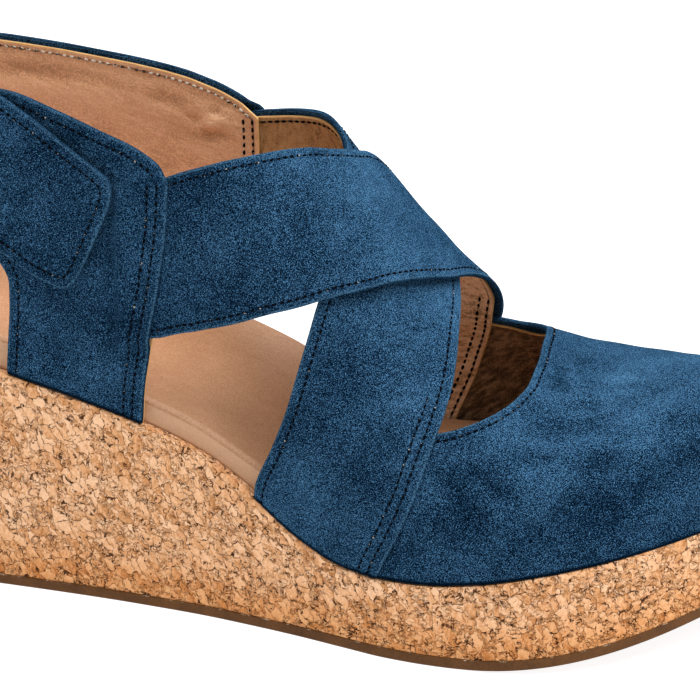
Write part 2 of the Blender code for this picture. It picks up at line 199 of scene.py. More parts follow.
# Height of the foot's ridge, its shift to the inner side, and how full the foot is in section
LAST = Table("x crest side full", [
    (30.0, 190.0, 0.0, 3.2),
    (60.0, 182.0, 1.0, 3.2),
    (80.0, 165.0, 2.0, 3.2),
    (94.0, 144.0, 3.0, 3.0),
    (110.0, 118.0, 4.0, 2.6),
    (119.0, 105.9, 4.6, 2.42),
    (126.7, 96.3, 5.0, 2.28),
    (131.7, 90.3, 5.0, 2.24),
    (136.2, 84.9, 5.0, 2.2),
    (141.2, 79.6, 5.0, 2.17),
    (145.7, 74.8, 5.0, 2.15),
    (150.7, 70.4, 5.0, 2.15),
    (156.0, 66.2, 5.0, 2.18),
    (163.0, 61.3, 5.0, 2.22),
    (172.0, 57.5, 5.2, 2.26),
    (182.0, 55.5, 5.4, 2.3),
    (195.0, 54.5, 5.6, 2.36),
    (208.0, 55.0, 6.0, 2.4),
])

# Height of the footbed's rim above the wedge on each side, and how far its middle is cupped below the rim
FOOTBED = Table("x outer inner cup", [
    (0.0, 8.6, 8.6, 3.0),
    (40.0, 8.0, 9.2, 2.8),
    (75.0, 5.9, 10.2, 2.0),
    (90.0, 5.3, 10.4, 1.6),
    (105.0, 5.3, 10.4, 1.4),
    (118.0, 6.2, 9.6, 1.2),
    (140.0, 6.3, 7.6, 0.8),
    (180.0, 5.8, 5.8, 0.4),
    (235.0, 5.3, 5.3, 0.2),
])

# Crossed straps from a quarter over the instep to the far side of the vamp, as places on the last
STRAP_COLUMNS = "along back_x back_angle front_x front_angle lift"

OVER_STRAP = Table(STRAP_COLUMNS, [
    (0.00, 84.0, 17.0, 84.0, 3.2, 0.0),
    (0.10, 93.5, 26.2, 92.0, 5.8, 0.2),
    (0.17, 98.4, 32.7, 99.7, 10.2, 0.65),
    (0.215, 101.5, 37.6, 104.6, 14.4, 1.05),
    (0.28, 106.4, 46.6, 111.5, 21.9, 1.8),
    (0.365, 112.5, 58.8, 118.9, 31.6, 2.6),
    (0.44, 117.5, 69.7, 125.8, 41.5, 3.2),
    (0.50, 121.5, 78.9, 131.5, 50.1, 3.5),
    (0.55, 124.3, 87.0, 136.7, 59.2, 3.65),
    (0.595, 126.3, 95.0, 140.8, 66.9, 3.55),
    (0.63, 127.5, 101.5, 144.2, 74.4, 3.4),
    (0.68, 128.6, 110.6, 148.8, 84.8, 3.2),
    (0.76, 129.4, 125.0, 153.6, 106.0, 2.8),
    (0.85, 127.4, 141.0, 156.0, 130.0, 2.0),
    (0.93, 121.5, 161.0, 151.5, 157.0, 1.4),
    (1.00, 114.6, 180.0, 143.4, 180.0, 1.2),
])

UNDER_STRAP = Table(STRAP_COLUMNS, [
    (0.00, 84.0, 17.0, 84.0, 3.2, 0.0),
    (0.10, 93.5, 26.5, 91.5, 6.0, 0.2),
    (0.20, 100.6, 35.8, 103.0, 13.1, 0.7),
    (0.32, 109.5, 52.2, 115.0, 25.8, 0.8),
    (0.44, 117.2, 70.8, 126.3, 41.0, 0.8),
    (0.55, 123.4, 89.5, 137.0, 58.5, 0.8),
    (0.66, 126.6, 108.0, 146.9, 79.0, 0.8),
    (0.76, 128.0, 125.2, 153.6, 105.1, 0.85),
    (0.85, 126.6, 141.1, 156.3, 130.1, 1.0),
    (0.93, 123.4, 160.4, 153.3, 157.1, 1.2),
    (0.97, 119.9, 171.2, 149.8, 169.4, 1.2),
    (1.00, 115.2, 180.0, 145.0, 180.0, 1.2),
])

# Edge of the throat on each side, as places and angles on the last
THROAT = Table("along outer_x outer inner_x inner", [
    (0.00, 138.0, 29.0, 138.0, 36.0),
    (0.22, 149.0, 34.0, 148.0, 40.6),
    (0.34, 155.9, 38.2, 154.2, 44.3),
    (0.46, 161.5, 44.2, 159.2, 49.0),
    (0.58, 166.5, 51.2, 163.6, 54.6),
    (0.70, 170.6, 60.4, 167.6, 62.6),
    (0.80, 172.4, 69.0, 169.6, 70.4),
    (0.90, 172.5, 79.5, 170.8, 79.8),
    (1.00, 171.6, 90.0, 171.6, 90.0),
])

# Back and front edge of a quarter
QUARTER = Table("z back front", [
    (40.0, 54.2, 86.6),
    (52.0, 54.2, 87.4),
    (60.0, 54.8, 88.7),
    (70.0, 55.7, 90.6),
    (75.0, 55.8, 91.7),
    (80.0, 53.5, 92.5),
    (84.0, 47.5, 93.1),
    (90.0, 47.5, 93.8),
    (98.0, 47.5, 94.1),
    (103.0, 47.5, 94.1),
    (122.0, 47.5, 94.1),
])

# Lower and upper edge of a quarter's ear and collar, round the heel
EAR = Table("u bottom outer_top inner_top", [
    (20.0, 92.0, 117.7, 119.6),
    (40.0, 88.5, 119.4, 118.6),
    (58.0, 84.2, 119.7, 117.0),
    (68.0, 84.0, 118.8, 115.8),
    (79.0, 84.0, 115.3, 114.4),
    (90.0, 84.0, 111.1, 112.4),
    (96.0, 84.0, 108.8, 110.6),
    (99.0, 84.0, 107.2, 109.6),
    (102.6, 84.0, 104.6, 108.0),
    (104.4, 84.0, 102.4, 107.1),
    (105.1, 84.0, 101.0, 106.7),
    (107.4, 84.0, 101.0, 105.2),
    (110.0, 84.0, 101.0, 103.0),
])

# How far the back of the heel leans in
HEEL_BACK = Table("z lean", [
    (50.0, 0.0),
    (64.0, 0.4),
    (78.0, 1.0),
    (92.0, 2.2),
    (106.0, 4.6),
    (122.0, 8.6),
])

# Upper and lower edge of the heel strap, from its sewn inner end round the heel to the tab
HEEL_STRAP = Table("along upper_u upper_z lower_u lower_z", [
    (0.00, 56.0, 114.6, 56.0, 87.4),
    (0.12, 38.0, 117.2, 38.0, 88.6),
    (0.30, 10.0, 119.0, 10.0, 90.0),
    (0.45, -15.0, 119.6, -15.0, 90.0),
    (0.62, -42.0, 120.0, -42.0, 87.8),
    (0.74, -56.5, 119.8, -54.0, 86.9),
    (0.80, -65.5, 118.4, -61.0, 85.5),
    (0.86, -73.8, 114.0, -67.2, 82.5),
    (0.92, -82.6, 108.1, -74.0, 78.6),
    (1.00, -94.8, 100.2, -83.3, 75.5),
])


def smooth(low: float, high: float, value: Array) -> Array:
    """Soft step.

    Args:
        low: Value where the step starts at 0.
        high: Value where it reaches 1.
        value: Places to read.

    Returns:
        The step at those places.
    """
    t = np.clip((value - low) / (high - low), 0.0, 1.0)
    return t * t * (3.0 - 2.0 * t)


def mix(low: Any, high: Any, t: Any) -> Any:
    """Straight blend of two values."""
    return low + (high - low) * t


def bell(distance: Array, width: float) -> Array:
    """Rounded bump, 1 at no distance and nearly 0 past twice its width."""
    return np.exp(-(distance / width) ** 2)


def unit(vectors: Array) -> Array:
    """Vectors drawn to a length of 1."""
    return vectors / np.maximum(np.linalg.norm(vectors, axis=1, keepdims=True), 1e-12)


def spaced(length: float, step: float) -> Array:
    """Shares from 0 to 1, about a step apart along a length."""
    return np.linspace(0.0, 1.0, round(length / step) + 1)


def to_frame(points: Array) -> list[list[float]]:
    """Points in metres about the frame's origin."""
    return ((points - (ORIGIN_X, 0.0, 0.0)) * MM).tolist()


def link(name: str, data: bpy.types.ID | None) -> Object:
    """New object of the scene, at the origin.

    Args:
        name: Name of the object.
        data: Its mesh, light or camera.

    Returns:
        The object.
    """
    item = bpy.data.objects.new(name, data)
    bpy.context.scene.collection.objects.link(item)
    return item


@dataclass(frozen=True)
class ShoeForm:
    """Surfaces of the sole and of the foot above it, in millimetres."""

    length: float = 235.0
    heel_centre: float = 36.0
    heel_round: float = 2.1
    heel_arc: float = 47.0
    toe_y: float = 6.0
    toe_outer: float = 167.0
    toe_inner: float = 166.0
    toe_round_outer: float = 0.86
    toe_round_inner: float = 0.62
    toe_tip_outer: float = 0.30
    toe_tip_inner: float = 0.12
    spring_start: float = 158.0
    toe_spring: float = 16.7
    fan_start: float = 186.0
    ridge_end: float = 204.0
    foot_inset: float = 2.8
    seat: float = 0.45

    def spring(self, x: Array) -> Array:
        """Lift of the sole's underside at each place along the foot."""
        ahead = np.clip((x - self.spring_start) / (self.length - self.spring_start), 0.0, None)
        return self.toe_spring * ahead ** 2

    def rim_y(self, x: Array, side: Values, inset: float) -> Array:
        """Edge of the sole in plan.

        Args:
            x: Places along the foot.
            side: -1 for the outer side and 1 for the inner side.
            inset: How far the edge is drawn in.

        Returns:
            The edge's y at those places.
        """
        x, side = np.broadcast_arrays(np.asarray(x, float), np.asarray(side, float))
        outer = side < 0.0
        y = side * (np.where(outer, SOLE.at("outer", x), SOLE.at("inner", x)) - inset)
        back = np.clip((self.heel_centre - x) / (self.heel_centre - inset), 0.0, 1.0)
        y = y * (1.0 - back ** self.heel_round) ** (1.0 / self.heel_round)
        centre = np.where(outer, self.toe_outer, self.toe_inner)
        front = np.clip((x - centre) / (self.length - inset - centre), 0.0, 1.0)
        power = np.where(outer, self.toe_round_outer, self.toe_round_inner)
        power = power - np.where(outer, self.toe_tip_outer, self.toe_tip_inner) * front ** 6
        return np.where(x > centre, self.toe_y + (y - self.toe_y) * (1.0 - front ** 2) ** power, y)

    def last_point(self, x: Array, angle: Array) -> Array:
        """Points of the last.

        Args:
            x: Stations on the rim.
            angle: Degrees from 0 on the outer rim over the ridge to 180 on the inner rim.

        Returns:
            Points, with X, Y and Z along the last axis.
        """
        x, angle = np.broadcast_arrays(np.asarray(x, float), np.asarray(angle, float))
        end = self.length - self.foot_inset
        x = np.minimum(x, end)
        side = np.where(angle <= 90.0, Side.OUTER.value, Side.INNER.value)
        fan = np.clip((x - self.fan_start) / (end - self.fan_start), 0.0, 1.0)
        top_x = x - (end - self.ridge_end) * fan ** 2
        power = 2.0 / LAST.at("full", x)
        across = np.abs(np.cos(np.radians(angle))) ** power
        up = np.abs(np.sin(np.radians(angle))) ** power
        low = SOLE.at("top", x) + self.seat
        return np.stack([mix(top_x, x, across),
                         mix(LAST.at("side", top_x), self.rim_y(x, side, self.foot_inset), across),
                         mix(low, LAST.at("crest", top_x), up)], axis=-1)

    def wall_point(self, u: Array, z: Array) -> Array:
        """Points of the foot's side wall.

        Args:
            u: Ways round the heel from its back, the outer side negative.
            z: Heights.

        Returns:
            Points, with X, Y and Z along the last axis.
        """
        u, z = np.broadcast_arrays(np.asarray(u, float), np.asarray(z, float))
        side = np.where(u < 0.0, Side.OUTER.value, Side.INNER.value)
        way = np.abs(u)
        x = np.maximum(self.heel_centre, self.heel_centre + way - self.heel_arc)
        base = SOLE.at("top", x) + self.seat
        z = np.maximum(z, base)
        full = LAST.at("full", x)
        part = np.clip((z - base) / (LAST.at("crest", x) - base), 0.0, 1.0)
        across = (1.0 - part ** full) ** (1.0 / full)
        y = mix(LAST.at("side", x), self.rim_y(x, side, self.foot_inset), across)
        turn = np.radians(90.0 * np.minimum(way / self.heel_arc, 1.0))
        depth = self.heel_centre - self.foot_inset - HEEL_BACK.at("lean", z)
        power = 2.0 / self.heel_round
        round_x = self.heel_centre - depth * np.abs(np.cos(turn)) ** power
        on_arc = way < self.heel_arc
        return np.stack([np.where(on_arc, round_x, x),
                         np.where(on_arc, y * np.sin(turn) ** power, y), z], axis=-1)


FORM = ShoeForm()


@dataclass
class Patch:
    """Grid of points, column by column, and whether its faces turn the other way."""

    points: Array
    flip: bool = False


class Sheet:
    """Open surface of quads on the foot, with its normals and the runs of its edge."""

    weld: float = 0.002
    inside_end: float = 190.0
    inside_height: float = 15.0

    def __init__(self, patches: list[Patch]) -> None:
        """Join the patches into one surface that faces away from the foot.

        Args:
            patches: Grids that share points where they meet.
        """
        points = np.concatenate([patch.points.reshape(-1, 3) for patch in patches])
        keys = np.round(points / self.weld).astype(np.int64)
        _, first, back = np.unique(keys, axis=0, return_index=True, return_inverse=True)
        back = back.reshape(-1)
        self.points = points[first]
        self.ids: list[Array] = []
        quads = []
        start = 0
        for patch in patches:
            columns, rows = patch.points.shape[:2]
            ids = back[start:start + columns * rows].reshape(columns, rows)
            start += columns * rows
            quad = np.stack([ids[:-1, :-1], ids[1:, :-1], ids[1:, 1:], ids[:-1, 1:]], axis=-1).reshape(-1, 4)
            quads.append(quad[:, ::-1] if patch.flip else quad)
            self.ids.append(ids)
        self.quads = np.concatenate(quads)
        if np.sum(self._face_areas() * (self._face_centres() - self._inside())) < 0.0:
            self.quads = self.quads[:, ::-1]
        self.normals = self._normals()
        self.loops = self._loops()
        self.outward = self._outward()
        self.runs: dict[str, Array] = {}

    def _face_areas(self) -> Array:
        """Area vector of each face."""
        a, b, c, d = (self.points[self.quads[:, i]] for i in range(4))
        return np.cross(c - a, d - b)

    def _face_centres(self) -> Array:
        """Middle of each face."""
        return self.points[self.quads].mean(axis=1)

    def _inside(self) -> Array:
        """Point inside the foot for each face."""
        x = np.clip(self._face_centres()[:, 0], FORM.heel_centre, self.inside_end)
        return np.stack([x, LAST.at("side", x), SOLE.at("top", x) + self.inside_height], axis=-1)

    def _normals(self) -> Array:
        """Work out the normals.

        Returns:
            Normal at each point.
        """
        areas = self._face_areas()
        total = np.zeros_like(self.points)
        for i in range(4):
            np.add.at(total, self.quads[:, i], areas)
        return unit(total)

    def _loops(self) -> list[Array]:
        """Follow the open edges.

        Returns:
            Closed runs of edge points, with the surface on their left.
        """
        tail = self.quads.reshape(-1)
        head = np.roll(self.quads, -1, axis=1).reshape(-1)
        real = tail != head
        tail, head = tail[real], head[real]
        count = len(self.points)
        open_edge = np.isin(tail * count + head, head * count + tail, invert=True)
        follow = dict(zip(tail[open_edge].tolist(), head[open_edge].tolist()))
        loops = []
        while follow:
            start, step = follow.popitem()
            loop = [start]
            while step != start:
                loop.append(step)
                step = follow.pop(step)
            loops.append(np.array(loop))
        return loops

    def _outward(self) -> Array:
        """Work out which way is off the surface.

        Returns:
            Direction off the edge, in the surface, at each edge point.
        """
        result = np.zeros_like(self.points)
        for loop in self.loops:
            along = np.roll(self.points[loop], -1, axis=0) - np.roll(self.points[loop], 1, axis=0)
            result[loop] = unit(np.cross(along, self.normals[loop]))
        return result

    def distance(self, *names: str) -> Array:
        """Distance of every point from some runs of the edge.

        Args:
            names: Names of the runs.

        Returns:
            Distances in millimetres.
        """
        return nearest_distance(self.points, self.points[np.concatenate([self.runs[name] for name in names])])


def nearest_distance(points: Array, others: Array) -> Array:
    """Distance of each point from the nearest of some others.

    Args:
        points: Points to measure from.
        others: Points to measure to.

    Returns:
        One distance for each point.
    """
    tree = KDTree(len(others))
    for index, other in enumerate(others):
        tree.insert(other, index)
    tree.balance()
    return np.array([tree.find(point)[2] for point in points])


@dataclass
class Skin:
    """Closed mesh in millimetres, with the named values that its finish reads at each point."""

    points: Array
    faces: list[tuple[int, ...]]
    marks: dict[str, Array]
    outer_faces: int = 0

    def tree(self) -> BVHTree:
        """Search tree of the skin's outer side."""
        return BVHTree.FromPolygons(self.points.tolist(), self.faces[:self.outer_faces])

    def inner(self) -> "Skin":
        """Side of the skin that faces the foot."""
        count = self.outer_faces
        return Skin(self.points, self.faces[count:2 * count], {}, count)

    def piece(self, name: str, material: Material) -> Object:
        """Object at the origin with this skin as its mesh.

        Args:
            name: Name of the piece.
            material: Finish of the piece.

        Returns:
            The new object.
        """
        mesh = bpy.data.meshes.new(name)
        mesh.from_pydata(to_frame(self.points), [], self.faces)
        for label, values in self.marks.items():
            mesh.attributes.new(label, "FLOAT", "POINT").data.foreach_set("value", values.astype(np.float32))
        mesh.shade_smooth()
        mesh.materials.append(material)
        return link(name, mesh)


def thicken(sheet: Sheet, low: Values, high: Values, bulge: Values,
            marks: dict[str, Array], rings: int = 6, square: float = 0.6) -> Skin:
    """Closed skin between two offsets of a sheet, with rounded edges.

    Args:
        sheet: Surface to thicken.
        low: Offset of the inner side.
        high: Offset of the outer side.
        bulge: How far the rounded edge stands out from the sheet's edge.
        marks: Named values at each point of the sheet.
        rings: Steps round the edge.
        square: Power of the edge's section, 1 for round and less for square.

    Returns:
        The skin, its outer side first.
    """
    count = len(sheet.points)
    low, high, bulge = (np.broadcast_to(np.asarray(value, float), (count,)) for value in (low, high, bulge))
    parts = [sheet.points + sheet.normals * high[:, None], sheet.points + sheet.normals * low[:, None]]
    order = [np.arange(count), np.arange(count)]
    down = [np.zeros(count), np.zeros(count)]
    quads = [sheet.quads, sheet.quads[:, ::-1] + count]
    start = 2 * count
    for loop in sheet.loops:
        middle = 0.5 * (low + high)[loop]
        half = 0.5 * (high - low)[loop]
        rims = [loop]
        for k in range(1, rings):
            turn = math.pi * (0.5 - k / rings)
            rise = middle + half * math.copysign(abs(math.sin(turn)) ** square, turn)
            reach = bulge[loop] * math.cos(turn) ** square
            parts.append(sheet.points[loop] + sheet.normals[loop] * rise[:, None]
                         + sheet.outward[loop] * reach[:, None])
            order.append(loop)
            down.append(2.0 * half * k / rings)
            rims.append(start + np.arange(len(loop)))
            start += len(loop)
        rims.append(loop + count)
        for near, far in zip(rims[:-1], rims[1:]):
            quads.append(np.stack([np.roll(near, -1), near, far, np.roll(far, -1)], axis=-1))
    faces = [tuple(dict.fromkeys(quad)) for quad in np.concatenate(quads).tolist()]
    order = np.concatenate(order)
    marks = {name: values[order] for name, values in marks.items()}
    # EDGE runs below 0 down the rounded edge, where the suede finish paints shade on the cut side
    marks[EDGE] = marks[EDGE] - np.concatenate(down)
    return Skin(np.concatenate(parts), faces, marks, len(sheet.quads))


def suede_marks(edge: Array, row: Array, **others: Array) -> dict[str, Array]:
    """Named values that the suede finish reads at each point of a panel.

    Args:
        edge: Distance from a cut edge.
        row: Signed distance from the first row of stitches.
        others: Signed distance from the second row, distance from the edge that meets the wedge and
        height of the painted light and shade of creases and highlight bands, where there are any.

    Returns:
        The values by name.
    """
    far = np.full_like(edge, FAR)
    return {EDGE: edge, ROW: row, LAP: far, FOOT: far, PAINTED_LIGHT: np.zeros_like(edge)} | others


class SolePlan:
    """Outline of the sole in plan, as a ring of evenly spaced points that starts at the heel."""

    samples: int = 4000

    def __init__(self, inset: float, step: float) -> None:
        """Space the ring's points.

        Args:
            inset: How far the outline is drawn in from the sole's edge; negative stands proud.
            step: Distance between points.
        """
        dense = np.linspace(0.0, math.pi, self.samples)
        x = mix(inset, FORM.length - inset, 0.5 - 0.5 * np.cos(dense))
        ways = []
        for side in Side:
            y = FORM.rim_y(x, side.value, inset)
            ways.append(np.concatenate([[0.0], np.cumsum(np.hypot(np.diff(x), np.diff(y)))]))
        way = 0.5 * (ways[0] + ways[1])
        self.count = round(way[-1] / step)
        stations = np.interp(np.linspace(0.0, way[-1], self.count + 1), way, x)
        back = stations[-2:0:-1]
        self.x = np.concatenate([stations, back])
        self.y = np.concatenate([FORM.rim_y(stations, Side.OUTER.value, inset),
                                 FORM.rim_y(back, Side.INNER.value, inset)])
        run = np.roll(self.x, -1) - np.roll(self.x, 1)
        rise = np.roll(self.y, -1) - np.roll(self.y, 1)
        size = np.hypot(run, rise)
        self.off_x = rise / size
        self.off_y = -run / size

    def ring(self, inward: Values, z: Array) -> Array:
        """Points of the ring.

        Args:
            inward: How far the ring is drawn in further.
            z: Height of each point.

        Returns:
            One point for each place on the ring.
        """
        return np.stack([self.x - self.off_x * inward, self.y - self.off_y * inward, z], axis=-1)

    def solid(self, rings: list[Array], across: int, marks: dict[str, list[float]],
              top: Callable[[Array, Array], Array] | None = None) -> Skin:
        """Closed skin through rings from bottom to top, with both ends filled.

        Args:
            rings: Rings of points from the bottom up.
            across: Faces across each end.
            marks: Named values of each ring; the ends take those of the ring they fill.
            top: Height of the top inside the last ring, from x and the place across from -1 to 1.

        Returns:
            The skin, its side wall first.
        """
        size = len(self.x)
        points = list(rings)
        source = [np.full(size, k) for k in range(len(rings))]
        ids = np.arange(len(rings) * size).reshape(len(rings), size)
        quads = [np.stack([low, np.roll(low, -1), np.roll(high, -1), high], axis=-1)
                 for low, high in zip(ids[:-1], ids[1:])]
        start = len(rings) * size
        outer = np.arange(self.count + 1)
        inner = (size - outer) % size
        for k, turned in ((0, True), (len(rings) - 1, False)):
            grid = [ids[k][outer]]
            for j in range(1, across):
                t = j / across
                row = mix(rings[k][outer], rings[k][inner], t)
                if top is not None and not turned:
                    row[:, 2] = top(row[:, 0], np.full(len(row), 2.0 * t - 1.0))
                points.append(row[1:-1])
                source.append(np.full(self.count - 1, k))
                fresh = start + np.arange(self.count - 1)
                grid.append(np.concatenate([ids[k][:1], fresh, ids[k][self.count:self.count + 1]]))
                start += self.count - 1
            grid.append(ids[k][inner])
            for low, high in zip(grid[:-1], grid[1:]):
                quad = np.stack([low[:-1], low[1:], high[1:], high[:-1]], axis=-1)
                quads.append(quad[:, ::-1] if turned else quad)
        faces = [tuple(dict.fromkeys(quad)) for quad in np.concatenate(quads).tolist()]
        source = np.concatenate(source)
        values = {name: np.array(rows, float)[source] for name, rows in marks.items()}
        return Skin(np.concatenate(points), faces, values)


class Recipe:
    """Node tree being built, with short calls for the nodes that finishes share."""

    def __init__(self, tree: NodeTree) -> None:
        """Keep the tree."""
        self.tree = tree

    def feed(self, socket: Socket, value: Any) -> None:
        """Link a socket to another, or set its value.

        Args:
            socket: Socket to feed.
            value: Other socket, number, vector, colour or material.
        """
        if isinstance(value, Socket):
            self.tree.links.new(value, socket)
        elif socket.type == "RGBA":
            socket.default_value = (*value, 1.0)
        else:
            socket.default_value = value

    def node(self, kind: str, inputs: dict[str | int, Any] | None = None, **settings: Any) -> Node:
        """New node.

        Args:
            kind: Type of the node.
            inputs: Values or sockets by the input's name or number.
            settings: Properties of the node, set first.

        Returns:
            The node.
        """
        made = self.tree.nodes.new(kind)
        for name, value in settings.items():
            setattr(made, name, value)
        for name, value in (inputs or {}).items():
            self.feed(made.inputs[name], value)
        return made

    def math(self, operation: str, *values: Any) -> Socket:
        """Result of a Math node on some values."""
        return self.node("ShaderNodeMath", dict(enumerate(values)), operation=operation).outputs[0]

    def vector(self, operation: str, *values: Any) -> Socket:
        """Result of a Vector Math node on some values."""
        return self.node("ShaderNodeVectorMath", dict(enumerate(values)), operation=operation).outputs[0]

    def scaled(self, vector: Socket, amount: Any) -> Socket:
        """Vector times a number."""
        inputs = {"Vector": vector, "Scale": amount}
        return self.node("ShaderNodeVectorMath", inputs, operation="SCALE").outputs[0]

    def turned(self, vector: Socket, axis: Triple, angle: float) -> Socket:
        """Vector turned about an axis through the origin."""
        inputs = {"Vector": vector, "Axis": axis, "Angle": angle}
        return self.node("ShaderNodeVectorRotate", inputs).outputs[0]

    def tone(self, level: float, *patterns: tuple[Socket, float]) -> Socket:
        """Sum of patterns about their middle value of 0.5.

        Args:
            level: Sum where every pattern is at its middle.
            patterns: Patterns, each with its weight.

        Returns:
            The sum.
        """
        total: Any = level - 0.5 * sum(weight for _, weight in patterns)
        for pattern, weight in patterns:
            total = self.math("MULTIPLY_ADD", pattern, weight, total)
        return total

    def step(self, value: Any, low: float, high: float, start: float = 0.0, end: float = 1.0) -> Socket:
        """Soft step from start at low to end at high."""
        inputs = {"Value": value, "From Min": low, "From Max": high, "To Min": start, "To Max": end}
        return self.node("ShaderNodeMapRange", inputs, interpolation_type="SMOOTHSTEP").outputs["Result"]

    def noise(self, vector: Socket, scale: float, detail: float = 2.0, roughness: float = 0.5,
              twist: float = 0.0, output: int = 0) -> Socket:
        """Value of a noise, or its colour as output 1."""
        inputs = {"Vector": vector, "Scale": scale, "Detail": detail, "Roughness": roughness,
                  "Distortion": twist}
        return self.node("ShaderNodeTexNoise", inputs).outputs[output]

    def cells(self, vector: Socket, scale: Any, feature: str = "F1") -> Node:
        """Voronoi node, its distance first and its colour second."""
        return self.node("ShaderNodeTexVoronoi", {"Vector": vector, "Scale": scale}, feature=feature)

    def blend(self, factor: Any, first: Any, second: Any, mode: str = "MIX") -> Socket:
        """Mix of two colours."""
        inputs = {0: factor, 6: first, 7: second}
        return self.node("ShaderNodeMix", inputs, data_type="RGBA", blend_type=mode).outputs[2]

    def ramp(self, factor: Socket, *stops: tuple[float, Colour]) -> Socket:
        """Colour along a row of stops.

        Args:
            factor: Place along the row.
            stops: Places and their colours, in rising order.

        Returns:
            The colour.
        """
        made = self.node("ShaderNodeValToRGB", {"Fac": factor})
        band = made.color_ramp.elements
        while len(band) < len(stops):
            band.new(0.5)
        for element, (place_on, colour) in zip(band, stops):
            element.position = place_on
            element.color = (*colour, 1.0)
        return made.outputs[0]

    def channel(self, colour: Socket, index: int) -> Socket:
        """One channel of a colour."""
        return self.node("ShaderNodeSeparateXYZ", {"Vector": colour}).outputs[index]


class GeometryRecipe(Recipe):
    """Geometry tree being built, from named inputs to real, smooth faces of one material."""

    def __init__(self, name: str, *sizes: str) -> None:
        """Start a tree.

        Args:
            name: Name of the tree.
            sizes: Names of its inputs after the geometry.
        """
        super().__init__(bpy.data.node_groups.new(name, "GeometryNodeTree"))
        sockets = self.tree.interface
        sockets.new_socket("Geometry", in_out="INPUT", socket_type="NodeSocketGeometry")
        for size in sizes:
            sockets.new_socket(size, in_out="INPUT", socket_type="NodeSocketFloat")
        sockets.new_socket("Geometry", in_out="OUTPUT", socket_type="NodeSocketGeometry")
        self.entry = self.node("NodeGroupInput").outputs

    def attribute(self, name: str, kind: str = "FLOAT") -> Socket:
        """Named value at each point."""
        return self.node("GeometryNodeInputNamedAttribute", {"Name": name}, data_type=kind).outputs[0]

    def close(self, geometry: Socket, material: Material) -> NodeTree:
        """End the tree.

        Args:
            geometry: Geometry to end it with.
            material: Finish of the result.

        Returns:
            The tree.
        """
        real = self.node("GeometryNodeRealizeInstances", {"Geometry": geometry})
        even = self.node("GeometryNodeSetShadeSmooth", {"Geometry": real.outputs[0]})
        dressed = self.node("GeometryNodeSetMaterial", {"Geometry": even.outputs[0], "Material": material})
        self.node("NodeGroupOutput", {"Geometry": dressed.outputs[0]})
        return self.tree


class Finish:
    """Material being made, with its shader and the piece's own coordinates."""

    def __init__(self, name: str) -> None:
        """Start a material.

        Args:
            name: Name of the material.
        """
        self.material = bpy.data.materials.new(name)
        self.material.use_nodes = True
        self.recipe = Recipe(self.material.node_tree)
        self.shader = self.material.node_tree.nodes["Principled BSDF"]
        self.place = self.recipe.node("ShaderNodeTexCoord").outputs["Object"]

    def attribute(self, name: str) -> Socket:
        """Value of one of the piece's own attributes."""
        return self.recipe.node("ShaderNodeAttribute", attribute_name=name).outputs["Fac"]

    def set(self, **values: Any) -> None:
        """Set or link the shader's inputs, with spaces in their names as underscores."""
        for name, value in values.items():
            self.recipe.feed(self.shader.inputs[name.replace("_", " ")], value)

    def bump(self, height: Socket, strength: float, distance: float) -> None:
        """Raise the surface's shading by a height.

        Args:
            height: Height, of which only the changes count.
            strength: Share of the effect.
            distance: Size of a height of 1 in millimetres.
        """
        inputs = {"Height": height, "Strength": strength, "Distance": distance * MM}
        self.set(Normal=self.recipe.node("ShaderNodeBump", inputs).outputs[0])


